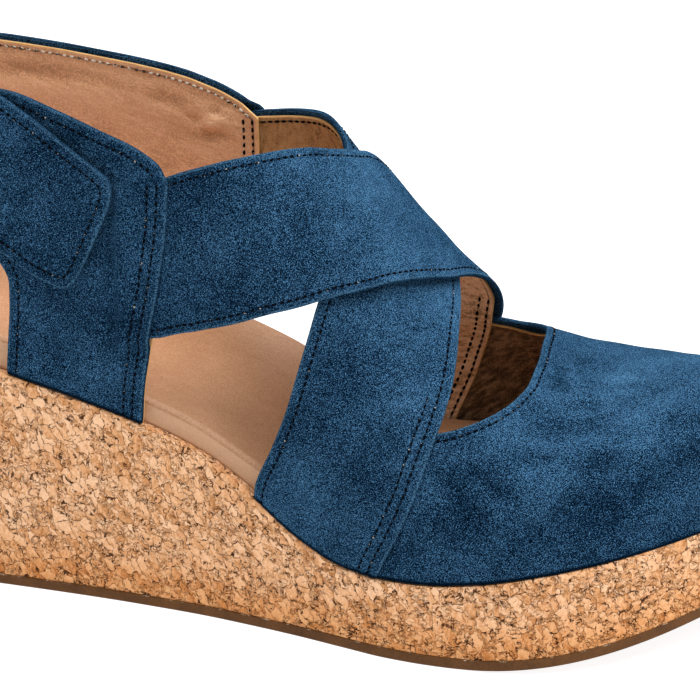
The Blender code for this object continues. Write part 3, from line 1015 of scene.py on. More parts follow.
@dataclass(frozen=True)
class Suede:
    """Napped navy suede: fine light and dark nap, brushed patches and pale cut edges, with painted shade
    along the rows of stitches, on cut sides and along the foot, and painted light on upward faces, crease
    ridges and strap highlight bands.
    """

    deep: Colour = (0.0012, 0.0050, 0.0125)
    dark: Colour = (0.0040, 0.0190, 0.0440)
    middle: Colour = (0.0096, 0.0365, 0.0830)
    light: Colour = (0.0235, 0.0780, 0.1640)
    pale: Colour = (0.0740, 0.1930, 0.3420)
    cut: Colour = (0.0680, 0.1720, 0.2880)
    sheen: Colour = (0.14, 0.48, 0.92)
    level: float = 0.375
    patch_scale: float = 75.0
    patch_tone: float = 0.85
    brush_scale: float = 330.0
    brush_tone: float = 0.26
    nap_scale: float = 4700.0
    nap_twist: float = 0.6
    nap_tone: float = 3.9
    # Painted light and shade: tone of creases and strap highlight bands, light on upward faces, shade along
    # rows of stitches, on cut sides and along the foot
    painted_light_tone: float = 0.36
    painted_top_light: float = 0.18
    seam_shade_width: float = 0.45
    seam_shade_share: float = 0.4
    cut_width: float = 0.45
    cut_share: float = 0.8
    painted_side_share: float = 0.45
    foot_shade_width: float = 1.0
    foot_shade_share: float = 0.96

    def make(self) -> Material:
        """Build the material.

        Returns:
            The material.
        """
        finish = Finish("navy_suede")
        recipe = finish.recipe
        patches = recipe.noise(finish.place, self.patch_scale, 3.0, 0.55)
        brushed = recipe.noise(finish.place, self.brush_scale, 2.0, 0.6)
        nap = recipe.noise(finish.place, self.nap_scale, 1.0, 0.5, self.nap_twist)
        tone = recipe.tone(self.level, (patches, self.patch_tone), (brushed, self.brush_tone),
                           (nap, self.nap_tone))
        # Painted light and shade: tone raised on crease ridges and strap highlight bands, lowered in crease
        # troughs
        tone = recipe.math("MULTIPLY_ADD", finish.attribute(PAINTED_LIGHT), self.painted_light_tone, tone)
        # Painted light: faces that turn up are lighter
        upward = recipe.channel(recipe.node("ShaderNodeTexCoord").outputs["Normal"], 2)
        tone = recipe.math("ADD", tone, recipe.step(upward, 0.3, 0.95, 0.0, self.painted_top_light))
        colour = recipe.ramp(tone, (0.12, self.deep), (0.34, self.dark), (0.52, self.middle),
                             (0.70, self.light), (0.96, self.pale))
        # Painted shade in the grooves along the rows of stitches
        seams = (self.seam(recipe, finish.attribute(mark)) for mark in (ROW, LAP))
        colour = recipe.blend(recipe.math("MAXIMUM", *seams), colour, self.deep)
        edge = finish.attribute(EDGE)
        fuzz = recipe.step(recipe.math("ABSOLUTE", edge), 0.05, self.cut_width, self.cut_share, 0.0)
        colour = recipe.blend(recipe.math("MULTIPLY", fuzz, recipe.step(nap, 0.36, 0.62)), colour, self.cut)
        # Painted shade on the cut sides of the panel, where EDGE runs below 0
        side = recipe.step(edge, -0.7, -0.2, self.painted_side_share, 0.0)
        # Painted shade along the foot, where the suede meets the wedge
        painted_foot_shade = recipe.step(finish.attribute(FOOT), 0.3, self.foot_shade_width, self.foot_shade_share, 0.0)
        colour = recipe.blend(recipe.math("MAXIMUM", side, painted_foot_shade), colour, self.deep)
        finish.set(Base_Color=colour, Roughness=0.95, Specular_IOR_Level=0.0, Sheen_Weight=0.12,
                   Sheen_Roughness=0.32, Sheen_Tint=self.sheen)
        finish.bump(recipe.tone(0.0, (nap, 1.0), (brushed, 0.7)), 0.8, 0.4)
        return finish.material

    def seam(self, recipe: Recipe, row: Socket) -> Socket:
        """Painted shade along the groove of a row of stitches, from the signed distance to it."""
        return recipe.step(recipe.math("ABSOLUTE", row), 0.1, self.seam_shade_width, self.seam_shade_share, 0.0)


@dataclass(frozen=True)
class Lining:
    """Smooth lining leather with fine pebble, soft folds and a raw, paler edge, with painted shade along a
    row's groove and painted light and shade on wrinkles and creases.
    """

    name: str = "tan_lining"
    shade: Colour = (0.430, 0.212, 0.102)
    middle: Colour = (0.690, 0.378, 0.206)
    light: Colour = (0.820, 0.490, 0.295)
    raw: Colour = (0.800, 0.470, 0.180)
    # Colour of the painted shade along the groove of a row of stitches
    groove: Colour = (0.140, 0.058, 0.022)
    raw_width: float = 0.22
    raw_scale: float = 700.0
    groove_place: float = 1.2
    groove_shade_width: float = 0.4
    patch_scale: float = 70.0
    fold_scale: float = 130.0
    wrinkle_scale: float = 850.0
    pebble_scale: float = 2300.0
    # Tone of the wrinkles, partly painted light and shade, and of the painted light and shade of creases
    wrinkle_tone: float = 0.25
    painted_light_tone: float = 0.35
    lean: float = -0.3
    fold_depth: float = 0.6

    def make(self) -> Material:
        """Build the material.

        Returns:
            The material.
        """
        finish = Finish(self.name)
        recipe = finish.recipe
        patches = recipe.noise(finish.place, self.patch_scale, 3.0, 0.5)
        drawn = recipe.turned(finish.place, (0.0, 1.0, 0.0), self.lean)
        drawn = recipe.vector("MULTIPLY", drawn, (0.35, 1.0, 1.0))
        folds = recipe.noise(drawn, self.fold_scale, 2.0, 0.5)
        wrinkle = recipe.noise(drawn, self.wrinkle_scale, 2.0, 0.5)
        pebble = recipe.cells(finish.place, self.pebble_scale).outputs[0]
        # The wrinkle tone is partly painted light and shade along the wrinkles; the strap and toe linings
        # raise it where the bump shows little in their shade
        tone = recipe.tone(0.5, (patches, 0.3), (folds, 0.3), (wrinkle, self.wrinkle_tone), (pebble, 0.36))
        # Painted light and shade of the collar creases: lighter on their ridges, darker in their troughs
        tone = recipe.math("MULTIPLY_ADD", finish.attribute(PAINTED_LIGHT), self.painted_light_tone, tone)
        colour = recipe.ramp(tone, (0.26, self.shade), (0.48, self.middle), (0.74, self.light))
        edge = finish.attribute(EDGE)
        row = recipe.math("ABSOLUTE", recipe.math("SUBTRACT", edge, self.groove_place))
        # Painted shade: a dark line along the groove of the first row of stitches
        colour = recipe.blend(recipe.step(row, 0.1, self.groove_shade_width, 0.75, 0.0), colour, self.groove)
        ragged = recipe.tone(0.0, (recipe.noise(finish.place, self.raw_scale, 2.0, 0.6), 0.7))
        raw = recipe.step(recipe.math("ADD", edge, ragged), 0.05, self.raw_width, 0.95, 0.0)
        finish.set(Base_Color=recipe.blend(raw, colour, self.raw), Roughness=0.48, Specular_IOR_Level=0.4)
        finish.bump(recipe.tone(0.0, (folds, 2.4), (wrinkle, 0.6), (pebble, -0.16)), 0.8, self.fold_depth)
        return finish.material


@dataclass(frozen=True)
class FootbedLeather:
    """Smooth matt tan leather over the footbed, slightly mottled, with painted light on its side wall and a
    pale crest band of wear and painted highlight.
    """

    shade: Colour = (0.360, 0.178, 0.084)
    middle: Colour = (0.470, 0.250, 0.130)
    light: Colour = (0.570, 0.320, 0.180)
    # Pale tone of the crest's wear and painted highlight, and of the painted light on the side wall
    rubbed_and_lit: Colour = (0.720, 0.450, 0.280)
    patch_scale: float = 45.0
    pore_scale: float = 2200.0
    streak_scale: float = 500.0
    painted_side_share: float = 0.55
    crest_highlight_share: float = 0.14

    def make(self) -> Material:
        """Build the material.

        Returns:
            The material.
        """
        finish = Finish("tan_footbed")
        recipe = finish.recipe
        patches = recipe.noise(finish.place, self.patch_scale, 4.0, 0.55)
        pores = recipe.noise(finish.place, self.pore_scale, 2.0, 0.7)
        drawn = recipe.vector("MULTIPLY", finish.place, (0.25, 1.0, 1.0))
        streaks = recipe.noise(drawn, self.streak_scale, 3.0, 0.6)
        tone = recipe.tone(0.5, (patches, 0.4), (pores, 0.9), (streaks, 0.2))
        colour = recipe.ramp(tone, (0.3, self.shade), (0.5, self.middle), (0.7, self.light))
        # Painted light: the side wall (marked -1) is lightened; the crest (marked above 0) gets a pale band
        # that is partly rubbed wear and partly painted highlight
        crest = finish.attribute(EDGE)
        for end, share in ((-1.0, self.painted_side_share), (1.0, self.crest_highlight_share)):
            colour = recipe.blend(recipe.step(crest, 0.0, end, 0.0, share), colour, self.rubbed_and_lit)
        finish.set(Base_Color=colour, Roughness=0.5, Specular_IOR_Level=0.35)
        finish.bump(recipe.math("ADD", pores, streaks), 0.4, 0.2)
        return finish.material


class CorkChips:
    """Pattern of pressed cork chips, the same in the relief and in the colour."""

    large: float = 560.0
    small: float = 1150.0
    axis: Triple = (0.15, 1.0, 0.1)
    middle: Triple = (0.5, 0.5, 0.5)

    def __init__(self, recipe: Recipe, place_on: Socket) -> None:
        """Build the pattern's nodes.

        Args:
            recipe: Tree that the pattern goes into.
            place_on: Position in metres.
        """
        self.recipe = recipe
        bent = self.wander(place_on, 380.0, 0.0034)
        ragged = self.wander(place_on, 2400.0, 0.0005)
        self.place = recipe.vector("ADD", place_on, recipe.vector("ADD", bent, ragged))
        long_chip = recipe.vector("MULTIPLY", recipe.turned(self.place, self.axis, 0.6), (1.0, 0.9, 0.5))
        short_chip = recipe.vector("MULTIPLY", recipe.turned(self.place, self.axis, -0.5), (0.62, 0.9, 1.0))
        large = recipe.cells(long_chip, self.large)
        small = recipe.cells(short_chip, self.small)
        large_gap = recipe.cells(long_chip, self.large, "DISTANCE_TO_EDGE").outputs[0]
        small_gap = recipe.cells(short_chip, self.small, "DISTANCE_TO_EDGE").outputs[0]
        self.pick = recipe.step(recipe.channel(large.outputs[1], 2), 0.50, 0.52)
        self.rest = recipe.math("SUBTRACT", 1.0, self.pick)
        self.tone = self.chosen(recipe.channel(large.outputs[1], 0), recipe.channel(small.outputs[1], 0))
        self.tilt = self.chosen(self.slope(large, long_chip, self.large),
                                self.slope(small, short_chip, self.small))
        gap = self.chosen(large_gap, recipe.math("MINIMUM", large_gap, small_gap))
        broken = recipe.step(recipe.noise(place_on, 900.0, 2.0, 0.6), 0.38, 0.6)
        self.border = recipe.math("MULTIPLY", recipe.step(gap, 0.01, 0.065, 1.0, 0.0), broken)
        wide = recipe.step(recipe.noise(place_on, 560.0, 2.0, 0.65), 0.50, 0.68, 0.004, 0.11)
        self.crack = recipe.step(recipe.math("DIVIDE", gap, wide), 0.35, 1.0, 1.0, 0.0)

    def wander(self, place_on: Socket, scale: float, reach: float) -> Socket:
        """Small shift that a noise gives each place, up to half its reach each way."""
        noise = self.recipe.noise(place_on, scale, 2.0, 0.6, output=1)
        return self.recipe.scaled(self.recipe.vector("SUBTRACT", noise, self.middle), reach)

    def chosen(self, first: Socket, second: Socket) -> Socket:
        """First value where a long chip shows, the second elsewhere."""
        second = self.recipe.math("MULTIPLY", second, self.rest)
        return self.recipe.math("MULTIPLY_ADD", first, self.pick, second)

    def slope(self, cells: Node, place_on: Socket, scale: float) -> Socket:
        """Height of a chip that leans its own way, about 0.

        Args:
            cells: Voronoi node of the chips.
            place_on: Position that the node reads.
            scale: Scale of the node.

        Returns:
            Height as a share of the chip's size.
        """
        recipe = self.recipe
        from_middle = recipe.scaled(recipe.vector("SUBTRACT", place_on, cells.outputs["Position"]), scale)
        lean = recipe.vector("SUBTRACT", cells.outputs[1], self.middle)
        inputs = {0: from_middle, 1: lean}
        return recipe.node("ShaderNodeVectorMath", inputs, operation="DOT_PRODUCT").outputs["Value"]


@dataclass(frozen=True)
class Cork:
    """Pressed cork: pale chips that lean every way, brown borders, dark crevices and specks, with painted
    shade on each chip's lower side and towards the bottom of the wedge.
    """

    brown: Colour = (0.450, 0.185, 0.062)
    orange: Colour = (0.660, 0.310, 0.125)
    tan: Colour = (0.830, 0.445, 0.225)
    cream: Colour = (0.950, 0.590, 0.355)
    border: Colour = (0.290, 0.105, 0.030)
    crevice: Colour = (0.075, 0.025, 0.007)
    # Colour and heights of the painted shade towards the bottom of the wedge
    painted_low_shade: Colour = (0.900, 0.740, 0.540)
    low_shade_full: float = 3.0
    low_shade_end: float = 17.0
    level: float = 0.61
    fibre_scale: float = 1500.0
    drift_scale: float = 120.0
    speck_scale: float = 800.0
    border_share: float = 0.75
    crack_share: float = 0.95
    speck_share: float = 0.9
    relief: float = 0.42
    relief_share: float = 0.7

    def make(self) -> Material:
        """Build the material.

        Returns:
            The material.
        """
        finish = Finish("pressed_cork")
        recipe = finish.recipe
        chips = CorkChips(recipe, finish.place)
        drawn = recipe.vector("MULTIPLY", chips.place, (1.0, 1.0, 0.4))
        fibre = recipe.noise(drawn, self.fibre_scale, 3.0, 0.7)
        drift = recipe.noise(finish.place, self.drift_scale, 2.0)
        tone = recipe.tone(self.level, (chips.tone, 0.4), (fibre, 1.3), (drift, 0.3))
        # Painted shade on each chip: lighter where it stands higher in its lean, darker where it sinks
        tone = recipe.math("MULTIPLY_ADD", chips.tilt, 0.35, tone)
        colour = recipe.ramp(tone, (0.18, self.brown), (0.38, self.orange), (0.57, self.tan),
                             (0.82, self.cream))
        colour = recipe.blend(recipe.math("MULTIPLY", chips.border, self.border_share), colour, self.border)
        specks = recipe.cells(chips.place, self.speck_scale)
        dot = recipe.math("MULTIPLY", recipe.step(specks.outputs[0], 0.14, 0.34, 1.0, 0.0),
                          recipe.step(recipe.channel(specks.outputs[1], 1), 0.83, 0.85))
        dark = recipe.math("MAXIMUM", recipe.math("MULTIPLY", chips.crack, self.crack_share),
                           recipe.math("MULTIPLY", dot, self.speck_share))
        colour = recipe.blend(dark, colour, self.crevice)
        # Painted shade: the wedge darkens towards its bottom, above the sprung underside
        height = self.height(recipe, finish.place)
        low = recipe.step(height, self.low_shade_full * MM, self.low_shade_end * MM, 1.0, 0.0)
        colour = recipe.blend(low, colour, self.painted_low_shade, "MULTIPLY")
        finish.set(Base_Color=colour, Roughness=0.75, Specular_IOR_Level=0.15)
        pits = recipe.math("MAXIMUM", chips.border, dot)
        finish.bump(recipe.tone(0.0, (fibre, 0.5), (chips.tilt, 1.1), (pits, -0.5)), 0.85, 0.5)
        return finish.material

    def height(self, recipe: Recipe, position: Socket) -> Socket:
        """Height above the sprung underside of the sole, in metres.

        Args:
            recipe: Tree that it goes into.
            position: Position in metres.

        Returns:
            The height.
        """
        ahead = recipe.math("ADD", recipe.channel(position, 0), (ORIGIN_X - FORM.spring_start) * MM)
        ahead = recipe.math("DIVIDE", ahead, (FORM.length - FORM.spring_start) * MM)
        ahead = recipe.math("MAXIMUM", ahead, 0.0)
        lift = recipe.math("MULTIPLY", recipe.math("MULTIPLY", ahead, ahead), FORM.toe_spring * MM)
        return recipe.math("SUBTRACT", recipe.channel(position, 2), lift)

    def tree(self, material: Material) -> NodeTree:
        """Geometry tree that presses the chips into a surface.

        Args:
            material: Finish of the result.

        Returns:
            The tree, with inputs for the surface and the depth of its relief.
        """
        recipe = GeometryRecipe("cork_relief", "Depth")
        chips = CorkChips(recipe, recipe.node("GeometryNodeInputPosition").outputs[0])
        height = recipe.math("MULTIPLY", recipe.math("SUBTRACT", chips.tilt, chips.crack), self.relief_share)
        height = recipe.math("MULTIPLY", height, recipe.attribute(RELIEF))
        height = recipe.math("MULTIPLY", height, recipe.entry["Depth"])
        offset = recipe.scaled(recipe.node("GeometryNodeInputNormal").outputs[0], height)
        inputs = {"Geometry": recipe.entry["Geometry"], "Offset": offset}
        return recipe.close(recipe.node("GeometryNodeSetPosition", inputs).outputs[0], material)


@dataclass(frozen=True)
class Rubber:
    """Matt dark brown rubber with a ragged pale line of cement along its top edge."""

    dark: Colour = (0.066, 0.025, 0.006)
    light: Colour = (0.160, 0.064, 0.016)
    cement: Colour = (0.560, 0.420, 0.300)
    cloud_scale: float = 160.0
    grit_scale: float = 1600.0
    cement_scale: float = 420.0

    def make(self) -> Material:
        """Build the material.

        Returns:
            The material.
        """
        finish = Finish("brown_rubber")
        recipe = finish.recipe
        cloud = recipe.noise(finish.place, self.cloud_scale, 4.0, 0.6)
        grit = recipe.noise(finish.place, self.grit_scale, 2.0, 0.7)
        tone = recipe.tone(0.5, (cloud, 0.6), (grit, 0.4))
        colour = recipe.ramp(tone, (0.3, self.dark), (0.7, self.light))
        smear = recipe.noise(finish.place, self.cement_scale, 3.0, 0.7)
        ragged = recipe.math("MULTIPLY_ADD", smear, 1.1, finish.attribute(EDGE))
        colour = recipe.blend(recipe.step(ragged, 0.46, 0.62, 0.8, 0.0), colour, self.cement)
        finish.set(Base_Color=colour, Roughness=0.6, Specular_IOR_Level=0.2)
        finish.bump(grit, 0.3, 0.2)
        return finish.material


@dataclass(frozen=True)
class Thread:
    """Sewing thread with flecks where its strands catch the light."""

    name: str = "dark_thread"
    base: Colour = (0.0008, 0.0014, 0.0026)
    fleck: Colour = (0.300, 0.300, 0.290)
    fleck_level: float = 0.66
    fleck_scale: float = 1100.0
    strand_scale: float = 3000.0

    def make(self) -> Material:
        """Build the material.

        Returns:
            The material.
        """
        finish = Finish(self.name)
        recipe = finish.recipe
        flecks = recipe.noise(finish.place, self.fleck_scale, 1.0, 0.5)
        flecked = recipe.step(flecks, self.fleck_level, self.fleck_level + 0.04)
        colour = recipe.blend(flecked, self.base, self.fleck)
        finish.set(Base_Color=colour, Roughness=0.9, Specular_IOR_Level=0.05)
        finish.bump(recipe.noise(finish.place, self.strand_scale, 2.0, 0.6), 0.4, 0.1)
        return finish.material


def run_tree(item: Object, tree: NodeTree, values: dict[str, float]) -> Object:
    """Turn an object into the plain mesh that a geometry tree makes of it.

    Args:
        item: Object to work on.
        tree: Geometry tree.
        values: Values of the tree's inputs by name.

    Returns:
        The same object with its new mesh and no modifier.
    """
    modifier = item.modifiers.new(tree.name, "NODES")
    modifier.node_group = tree
    sockets = {entry.name: entry.identifier for entry in tree.interface.items_tree if entry.in_out == "INPUT"}
    for name, value in values.items():
        modifier[sockets[name]] = value
    bpy.context.view_layer.update()
    graph = bpy.context.evaluated_depsgraph_get()
    mesh = bpy.data.meshes.new_from_object(item.evaluated_get(graph))
    old = item.data
    item.modifiers.clear()
    item.data = mesh
    bpy.data.meshes.remove(old)
    mesh.name = item.name
    return item


def place(item: Object, slot: Slot, node: str | None = None) -> Object:
    """Hand a finished piece to the frame.

    Args:
        item: Finished piece.
        slot: Not used.
        node: Solid that the piece stands for, if any.

    Returns:
        The piece.
    """
    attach(item, BODY)
    if node:
        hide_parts(node)
    triangles = sum(len(face.vertices) - 2 for face in item.data.polygons)
    log.info("%s: %d triangles", item.name, triangles)
    return item


@dataclass
class Seams:
    """Rows of stitches that lie on finished skins."""

    name: str
    pitch: float = 1.7
    length: float = 1.15
    width: float = 0.54
    sink: float = -0.06
    flatness: float = 0.75
    least: Triple = (0.82, 0.85, 0.85)
    most: Triple = (1.08, 1.1, 1.1)
    seed: int = 7
    evening: int = 6
    points: list[Array] = field(default_factory=list)
    normals: list[Array] = field(default_factory=list)

    def add(self, sheet: Sheet, skin: Skin, offset: Values, run: str, inset: float,
            span: Span = (0.0, 1.0)) -> None:
        """Lay a row beside a run of a sheet's edge.

        Args:
            sheet: Sheet that the skin was made from.
            skin: Skin that carries the row.
            offset: Offset of the skin's outer side from the sheet.
            run: Name of the edge run.
            inset: Distance of the row from the edge.
            span: Part of the run that is sewn.
        """
        ids = sheet.runs[run]
        off = sheet.outward[ids]
        for _ in range(self.evening):
            off = 0.5 * off + 0.25 * (np.roll(off, 1, axis=0) + np.roll(off, -1, axis=0))
            off[0], off[-1] = off[1], off[-2]
        off = unit(off)
        height = np.broadcast_to(np.asarray(offset, float), (len(sheet.points),))[ids]
        start = sheet.points[ids] + sheet.normals[ids] * height[:, None] - off * inset
        first, last = (round(share * (len(ids) - 1)) for share in span)
        tree = skin.tree()
        found = [tree.find_nearest(point) for point in start[first:last + 1]]
        normal = np.array([hit[1] for hit in found])
        self.points.append(np.array([hit[0] for hit in found]) - normal * self.sink)
        self.normals.append(normal)

    def tree(self, material: Material) -> NodeTree:
        """Geometry tree that sets stitches along paths.

        Args:
            material: Finish of the thread.

        Returns:
            The tree, with inputs for the paths and the stitch's sizes.
        """
        recipe = GeometryRecipe(f"{self.name}_rows", "Pitch", "Length", "Width")
        entry = recipe.entry
        curve = recipe.node("GeometryNodeMeshToCurve", {"Mesh": entry["Geometry"]}).outputs[0]
        inputs = {"Curve": curve, "Length": entry["Pitch"]}
        rows = recipe.node("GeometryNodeCurveToPoints", inputs, mode="LENGTH").outputs
        along = recipe.node("FunctionNodeAlignRotationToVector", {"Vector": rows["Tangent"]}, axis="X")
        inputs = {"Rotation": along.outputs[0], "Vector": recipe.attribute(OUT, "FLOAT_VECTOR")}
        turn = recipe.node("FunctionNodeAlignRotationToVector", inputs, axis="Z", pivot_axis="X")
        ball = recipe.node("GeometryNodeMeshUVSphere", {"Segments": 8, "Rings": 5, "Radius": 0.5}).outputs[0]
        flat = recipe.math("MULTIPLY", entry["Width"], self.flatness)
        size = recipe.node("ShaderNodeCombineXYZ", {"X": entry["Length"], "Y": entry["Width"], "Z": flat})
        stitch = recipe.node("GeometryNodeTransform", {"Geometry": ball, "Scale": size.outputs[0]}).outputs[0]
        inputs = {0: self.least, 1: self.most, "Seed": self.seed}
        vary = recipe.node("FunctionNodeRandomValue", inputs, data_type="FLOAT_VECTOR").outputs[0]
        inputs = {"Points": rows["Points"], "Instance": stitch, "Rotation": turn.outputs[0], "Scale": vary}
        return recipe.close(recipe.node("GeometryNodeInstanceOnPoints", inputs).outputs[0], material)

    def build(self, material: Material) -> Object:
        """Make the rows into one piece.

        Args:
            material: Finish of the thread.

        Returns:
            The placed piece.
        """
        mesh = bpy.data.meshes.new(self.name)
        edges = []
        start = 0
        for points in self.points:
            edges.extend((start + i, start + i + 1) for i in range(len(points) - 1))
            start += len(points)
        mesh.from_pydata(to_frame(np.concatenate(self.points)), edges, [])
        out = mesh.attributes.new(OUT, "FLOAT_VECTOR", "POINT")
        out.data.foreach_set("vector", np.concatenate(self.normals).astype(np.float32).ravel())
        sizes = {"Pitch": self.pitch * MM, "Length": self.length * MM, "Width": self.width * MM}
        return place(run_tree(link(self.name, mesh), self.tree(material), sizes), Slot.THREAD)


class Surface(Enum):
    """Surface of the foot that a crease lies on, by the form's own method."""

    LAST = "last_point"
    WALL = "wall_point"


@dataclass(frozen=True)
class Crease:
    """Soft trough in a panel between two places on the foot, with low ridges beside it.

    A negative depth makes it a ridge.
    """

    start: Span
    end: Span
    width: float
    depth: float
    surface: Surface = Surface.LAST
    ridge: float = 0.4
    ridge_place: float = 1.9
    blunt: float = 0.05
    samples: int = 24

    def offset(self, points: Array) -> Array:
        """How far the crease moves each point along its normal.

        Args:
            points: Points of a panel on the foot.

        Returns:
            Offsets in millimetres, negative in the trough.
        """
        t = np.linspace(0.0, 1.0, self.samples)
        place_on = getattr(FORM, self.surface.value)
        line = place_on(mix(self.start[0], self.end[0], t), mix(self.start[1], self.end[1], t))
        gap = np.linalg.norm(points[:, None, :] - line[None, :, :], axis=2)
        nearest = gap.argmin(axis=1)
        gap = gap.min(axis=1)
        fade = np.sin(math.pi * (self.blunt + (1.0 - 2.0 * self.blunt) * t[nearest]))
        ridge = self.ridge * bell(gap - self.ridge_place * self.width, self.width)
        return self.depth * fade * (ridge - bell(gap, self.width))


@dataclass
class Rows:
    """Rows of stitches of the upper, by thread and by side of the leather."""

    suede: Seams = field(default_factory=lambda: Seams("upper_seams"))
    lining: Seams = field(default_factory=lambda: Seams("lining_seams", pitch=1.85, length=1.45, width=0.72))
    collar: Seams = field(default_factory=lambda: Seams("collar_seams", pitch=1.85, length=1.3, width=0.74))


@dataclass(frozen=True)
class StrapCut:
    """One crossed strap: its quarter's side, its places on the last, its rows and its band of painted
    highlight.
    """

    side: Side
    places: Table
    row: float
    second_start: float
    shine: float
    shine_place: float
    shine_width: float


@dataclass
class Upper:
    """Vamp, crossed straps and quarters, each a suede panel with its lining."""

    suede: Material
    lining: Material
    strap_linings: dict[Side, Material]
    toe_lining: Material
    rows: Rows
    over: StrapCut = StrapCut(Side.OUTER, OVER_STRAP, 1.6, 0.84, 0.4, 0.56, 0.09)
    under: StrapCut = StrapCut(Side.INNER, UNDER_STRAP, 2.1, 0.86, 0.25, 1.0, 0.12)
    step: float = 0.85
    lining_step: float = 1.2
    wall: float = 2.0
    lining_thick: float = 0.6
    bulge: float = 0.3
    foot_bulge: float = 0.1
    lining_bulge: float = 0.22
    trim: float = 1.3
    trim_angle: float = 2.0
    ridge_trim: float = 1.5
    ridge_along: float = 0.74
    ridge_width: float = 0.08
    strap_length: float = 165.0
    strap_width: float = 31.0
    throat_way: float = 60.0
    throat_front: float = 0.55
    throat_dip: float = 7.0
    dip_place: float = 0.72
    dip_width: float = 0.15
    toe_way: float = 72.0
    vamp_height: float = 66.0
    vamp_back: float = 138.0
    vamp_corner: float = 186.0
    full_lift: float = 2.4
    crown: float = 0.35
    quarter_lap: float = 1.35
    ear_end: float = 22.0
    ear_length: float = 40.0
    band_height: float = 32.0
    leg_join: float = 84.0
    leg_width: float = 44.0
    leg_height: float = 36.0
    leg_spread: float = 1.4
    foot_back: float = 50.0
    foot_front: float = 45.0
    collar_front: float = 103.0
    inner_front: float = 4.1
    row: float = 2.1
    near_row: float = 1.6
    second_row: float = 4.3
    lining_rows: Span = (1.3, 3.6)
    collar_row: float = 1.15
    groove: float = 0.16
    roll: float = 0.14
    unevenness: float = 0.05
    collar_pad: float = 0.8
    cross_low: float = 0.4
    cross_middle: float = 0.35
    cross_high: float = 0.2
    overlap: float = 0.05
    lap_gap: float = 0.1
    skive: float = 0.6
    skive_width: float = 5.0
    foot_fade: Span = (0.3, 1.0)
    foot_ease: Span = (3.0, 12.0)
    throat_ease: Span = (1.0, 7.0)
    collar_ease: Span = (1.6, 6.0)
    vamp_reach: Span = (6.5, 1.2)
    vamp_start: Span = (0.5, 0.6)
    strap_reach: Span = (3.0, 0.8)
    strap_end: Span = (0.84, 1.0)
    strap_middle: Span = (0.1, 0.9)
    row_span: Span = (0.02, 0.98)
    front_span: Span = (0.01, 0.97)
    free_edges: tuple[str, ...] = ("front", "top", "back", "under", "ear")
    creases: tuple[Crease, ...] = (
        Crease((175.6, 83.0), (179.2, 67.0), 1.7, 0.7),
        Crease((176.0, 50.0), (194.0, 57.0), 2.8, 0.7),
        Crease((178.0, 60.0), (190.0, 64.0), 1.6, 0.5),
        Crease((188.0, 66.0), (212.0, 76.0), 3.0, 0.5),
        Crease((186.0, 72.0), (200.0, 78.0), 1.6, 0.45),
        Crease((196.0, 19.0), (214.0, 37.0), 4.0, 0.75),
        Crease((176.0, 11.0), (196.0, 23.0), 3.4, 0.65),
        Crease((158.0, 31.0), (168.0, 13.0), 3.0, 0.5),
        Crease((163.0, 33.0), (176.0, 22.0), 2.2, 0.4),
        Crease((184.0, 33.0), (202.0, 43.0), 3.0, 0.6),
        Crease((172.0, 37.0), (182.0, 40.0), 1.7, 0.5),
        Crease((190.0, 47.0), (200.0, 49.0), 1.7, 0.5),
        Crease((204.0, 50.0), (222.0, 56.0), 3.4, 0.6),
        Crease((206.0, 62.0), (218.0, 66.0), 2.0, 0.45),
        Crease((182.0, 20.0), (190.0, 30.0), 2.0, 0.35),
        Crease((172.0, 158.0), (190.0, 150.0), 4.4, 0.6),
        Crease((196.0, 158.0), (212.0, 144.0), 4.4, 0.7),
    )
    collar_creases: tuple[Crease, ...] = (
        Crease((30.0, 112.6), (77.0, 108.9), 2.4, 0.75, Surface.WALL),
        Crease((79.0, 107.6), (92.0, 104.0), 2.0, 0.6, Surface.WALL),
        Crease((95.0, 106.6), (103.0, 104.0), 0.9, 0.35, Surface.WALL),
        Crease((96.5, 104.2), (103.4, 102.0), 0.9, 0.35, Surface.WALL),
        Crease((90.0, 102.0), (95.5, 100.2), 1.1, 0.3, Surface.WALL),
        Crease((95.0, 97.4), (102.0, 97.8), 1.4, 0.35, Surface.WALL),
        Crease((96.0, 100.6), (99.8, 99.8), 1.7, -0.5, Surface.WALL),
    )

    def vamp_sheet(self, step: float, trim: float = 0.0) -> Sheet:
        """Closed toe and sides on the last, open at the throat.

        Args:
            step: Size of a face.
            trim: Share of the full trim that the throat is cut back by.

        Returns:
            The sheet, with runs throat and foot.
        """
        tip = FORM.length - FORM.foot_inset
        sewn = spaced(self.throat_way, step)
        round_toe = np.sin(0.5 * math.pi * spaced(self.toe_way, step))[1:]
        rows = spaced(self.vamp_height, step)
        front = smooth(self.throat_front, 1.0, sewn)
        foot = np.concatenate([mix(self.vamp_back, self.vamp_corner, sewn),
                               mix(self.vamp_corner, tip, round_toe)])
        patches = []
        for side in Side:
            name = side.name.lower()
            throat = THROAT.at(f"{name}_x", sewn) + trim * self.trim * front
            head = np.concatenate([throat, mix(throat[-1], tip, round_toe)])
            reach = THROAT.at(name, sewn) - trim * self.trim_angle * (1.0 - front)
            if side is Side.INNER:
                reach = reach - trim * self.throat_dip * bell(sewn - self.dip_place, self.dip_width)
            reach = np.concatenate([reach, np.full(len(round_toe), 90.0)])
            angle = reach[:, None] * rows
            x = mix(foot[:, None], head[:, None], rows)
            turned = angle if side is Side.OUTER else 180.0 - angle
            patches.append(Patch(FORM.last_point(x, turned), side is Side.INNER))
        sheet = Sheet(patches)
        outer, inner = sheet.ids
        edge = len(sewn)
        sheet.runs["throat"] = np.concatenate([outer[:edge, -1], inner[:edge - 1, -1][::-1]])
        sheet.runs["foot"] = np.concatenate([outer[:, 0], inner[:-1, 0][::-1]])
        return sheet

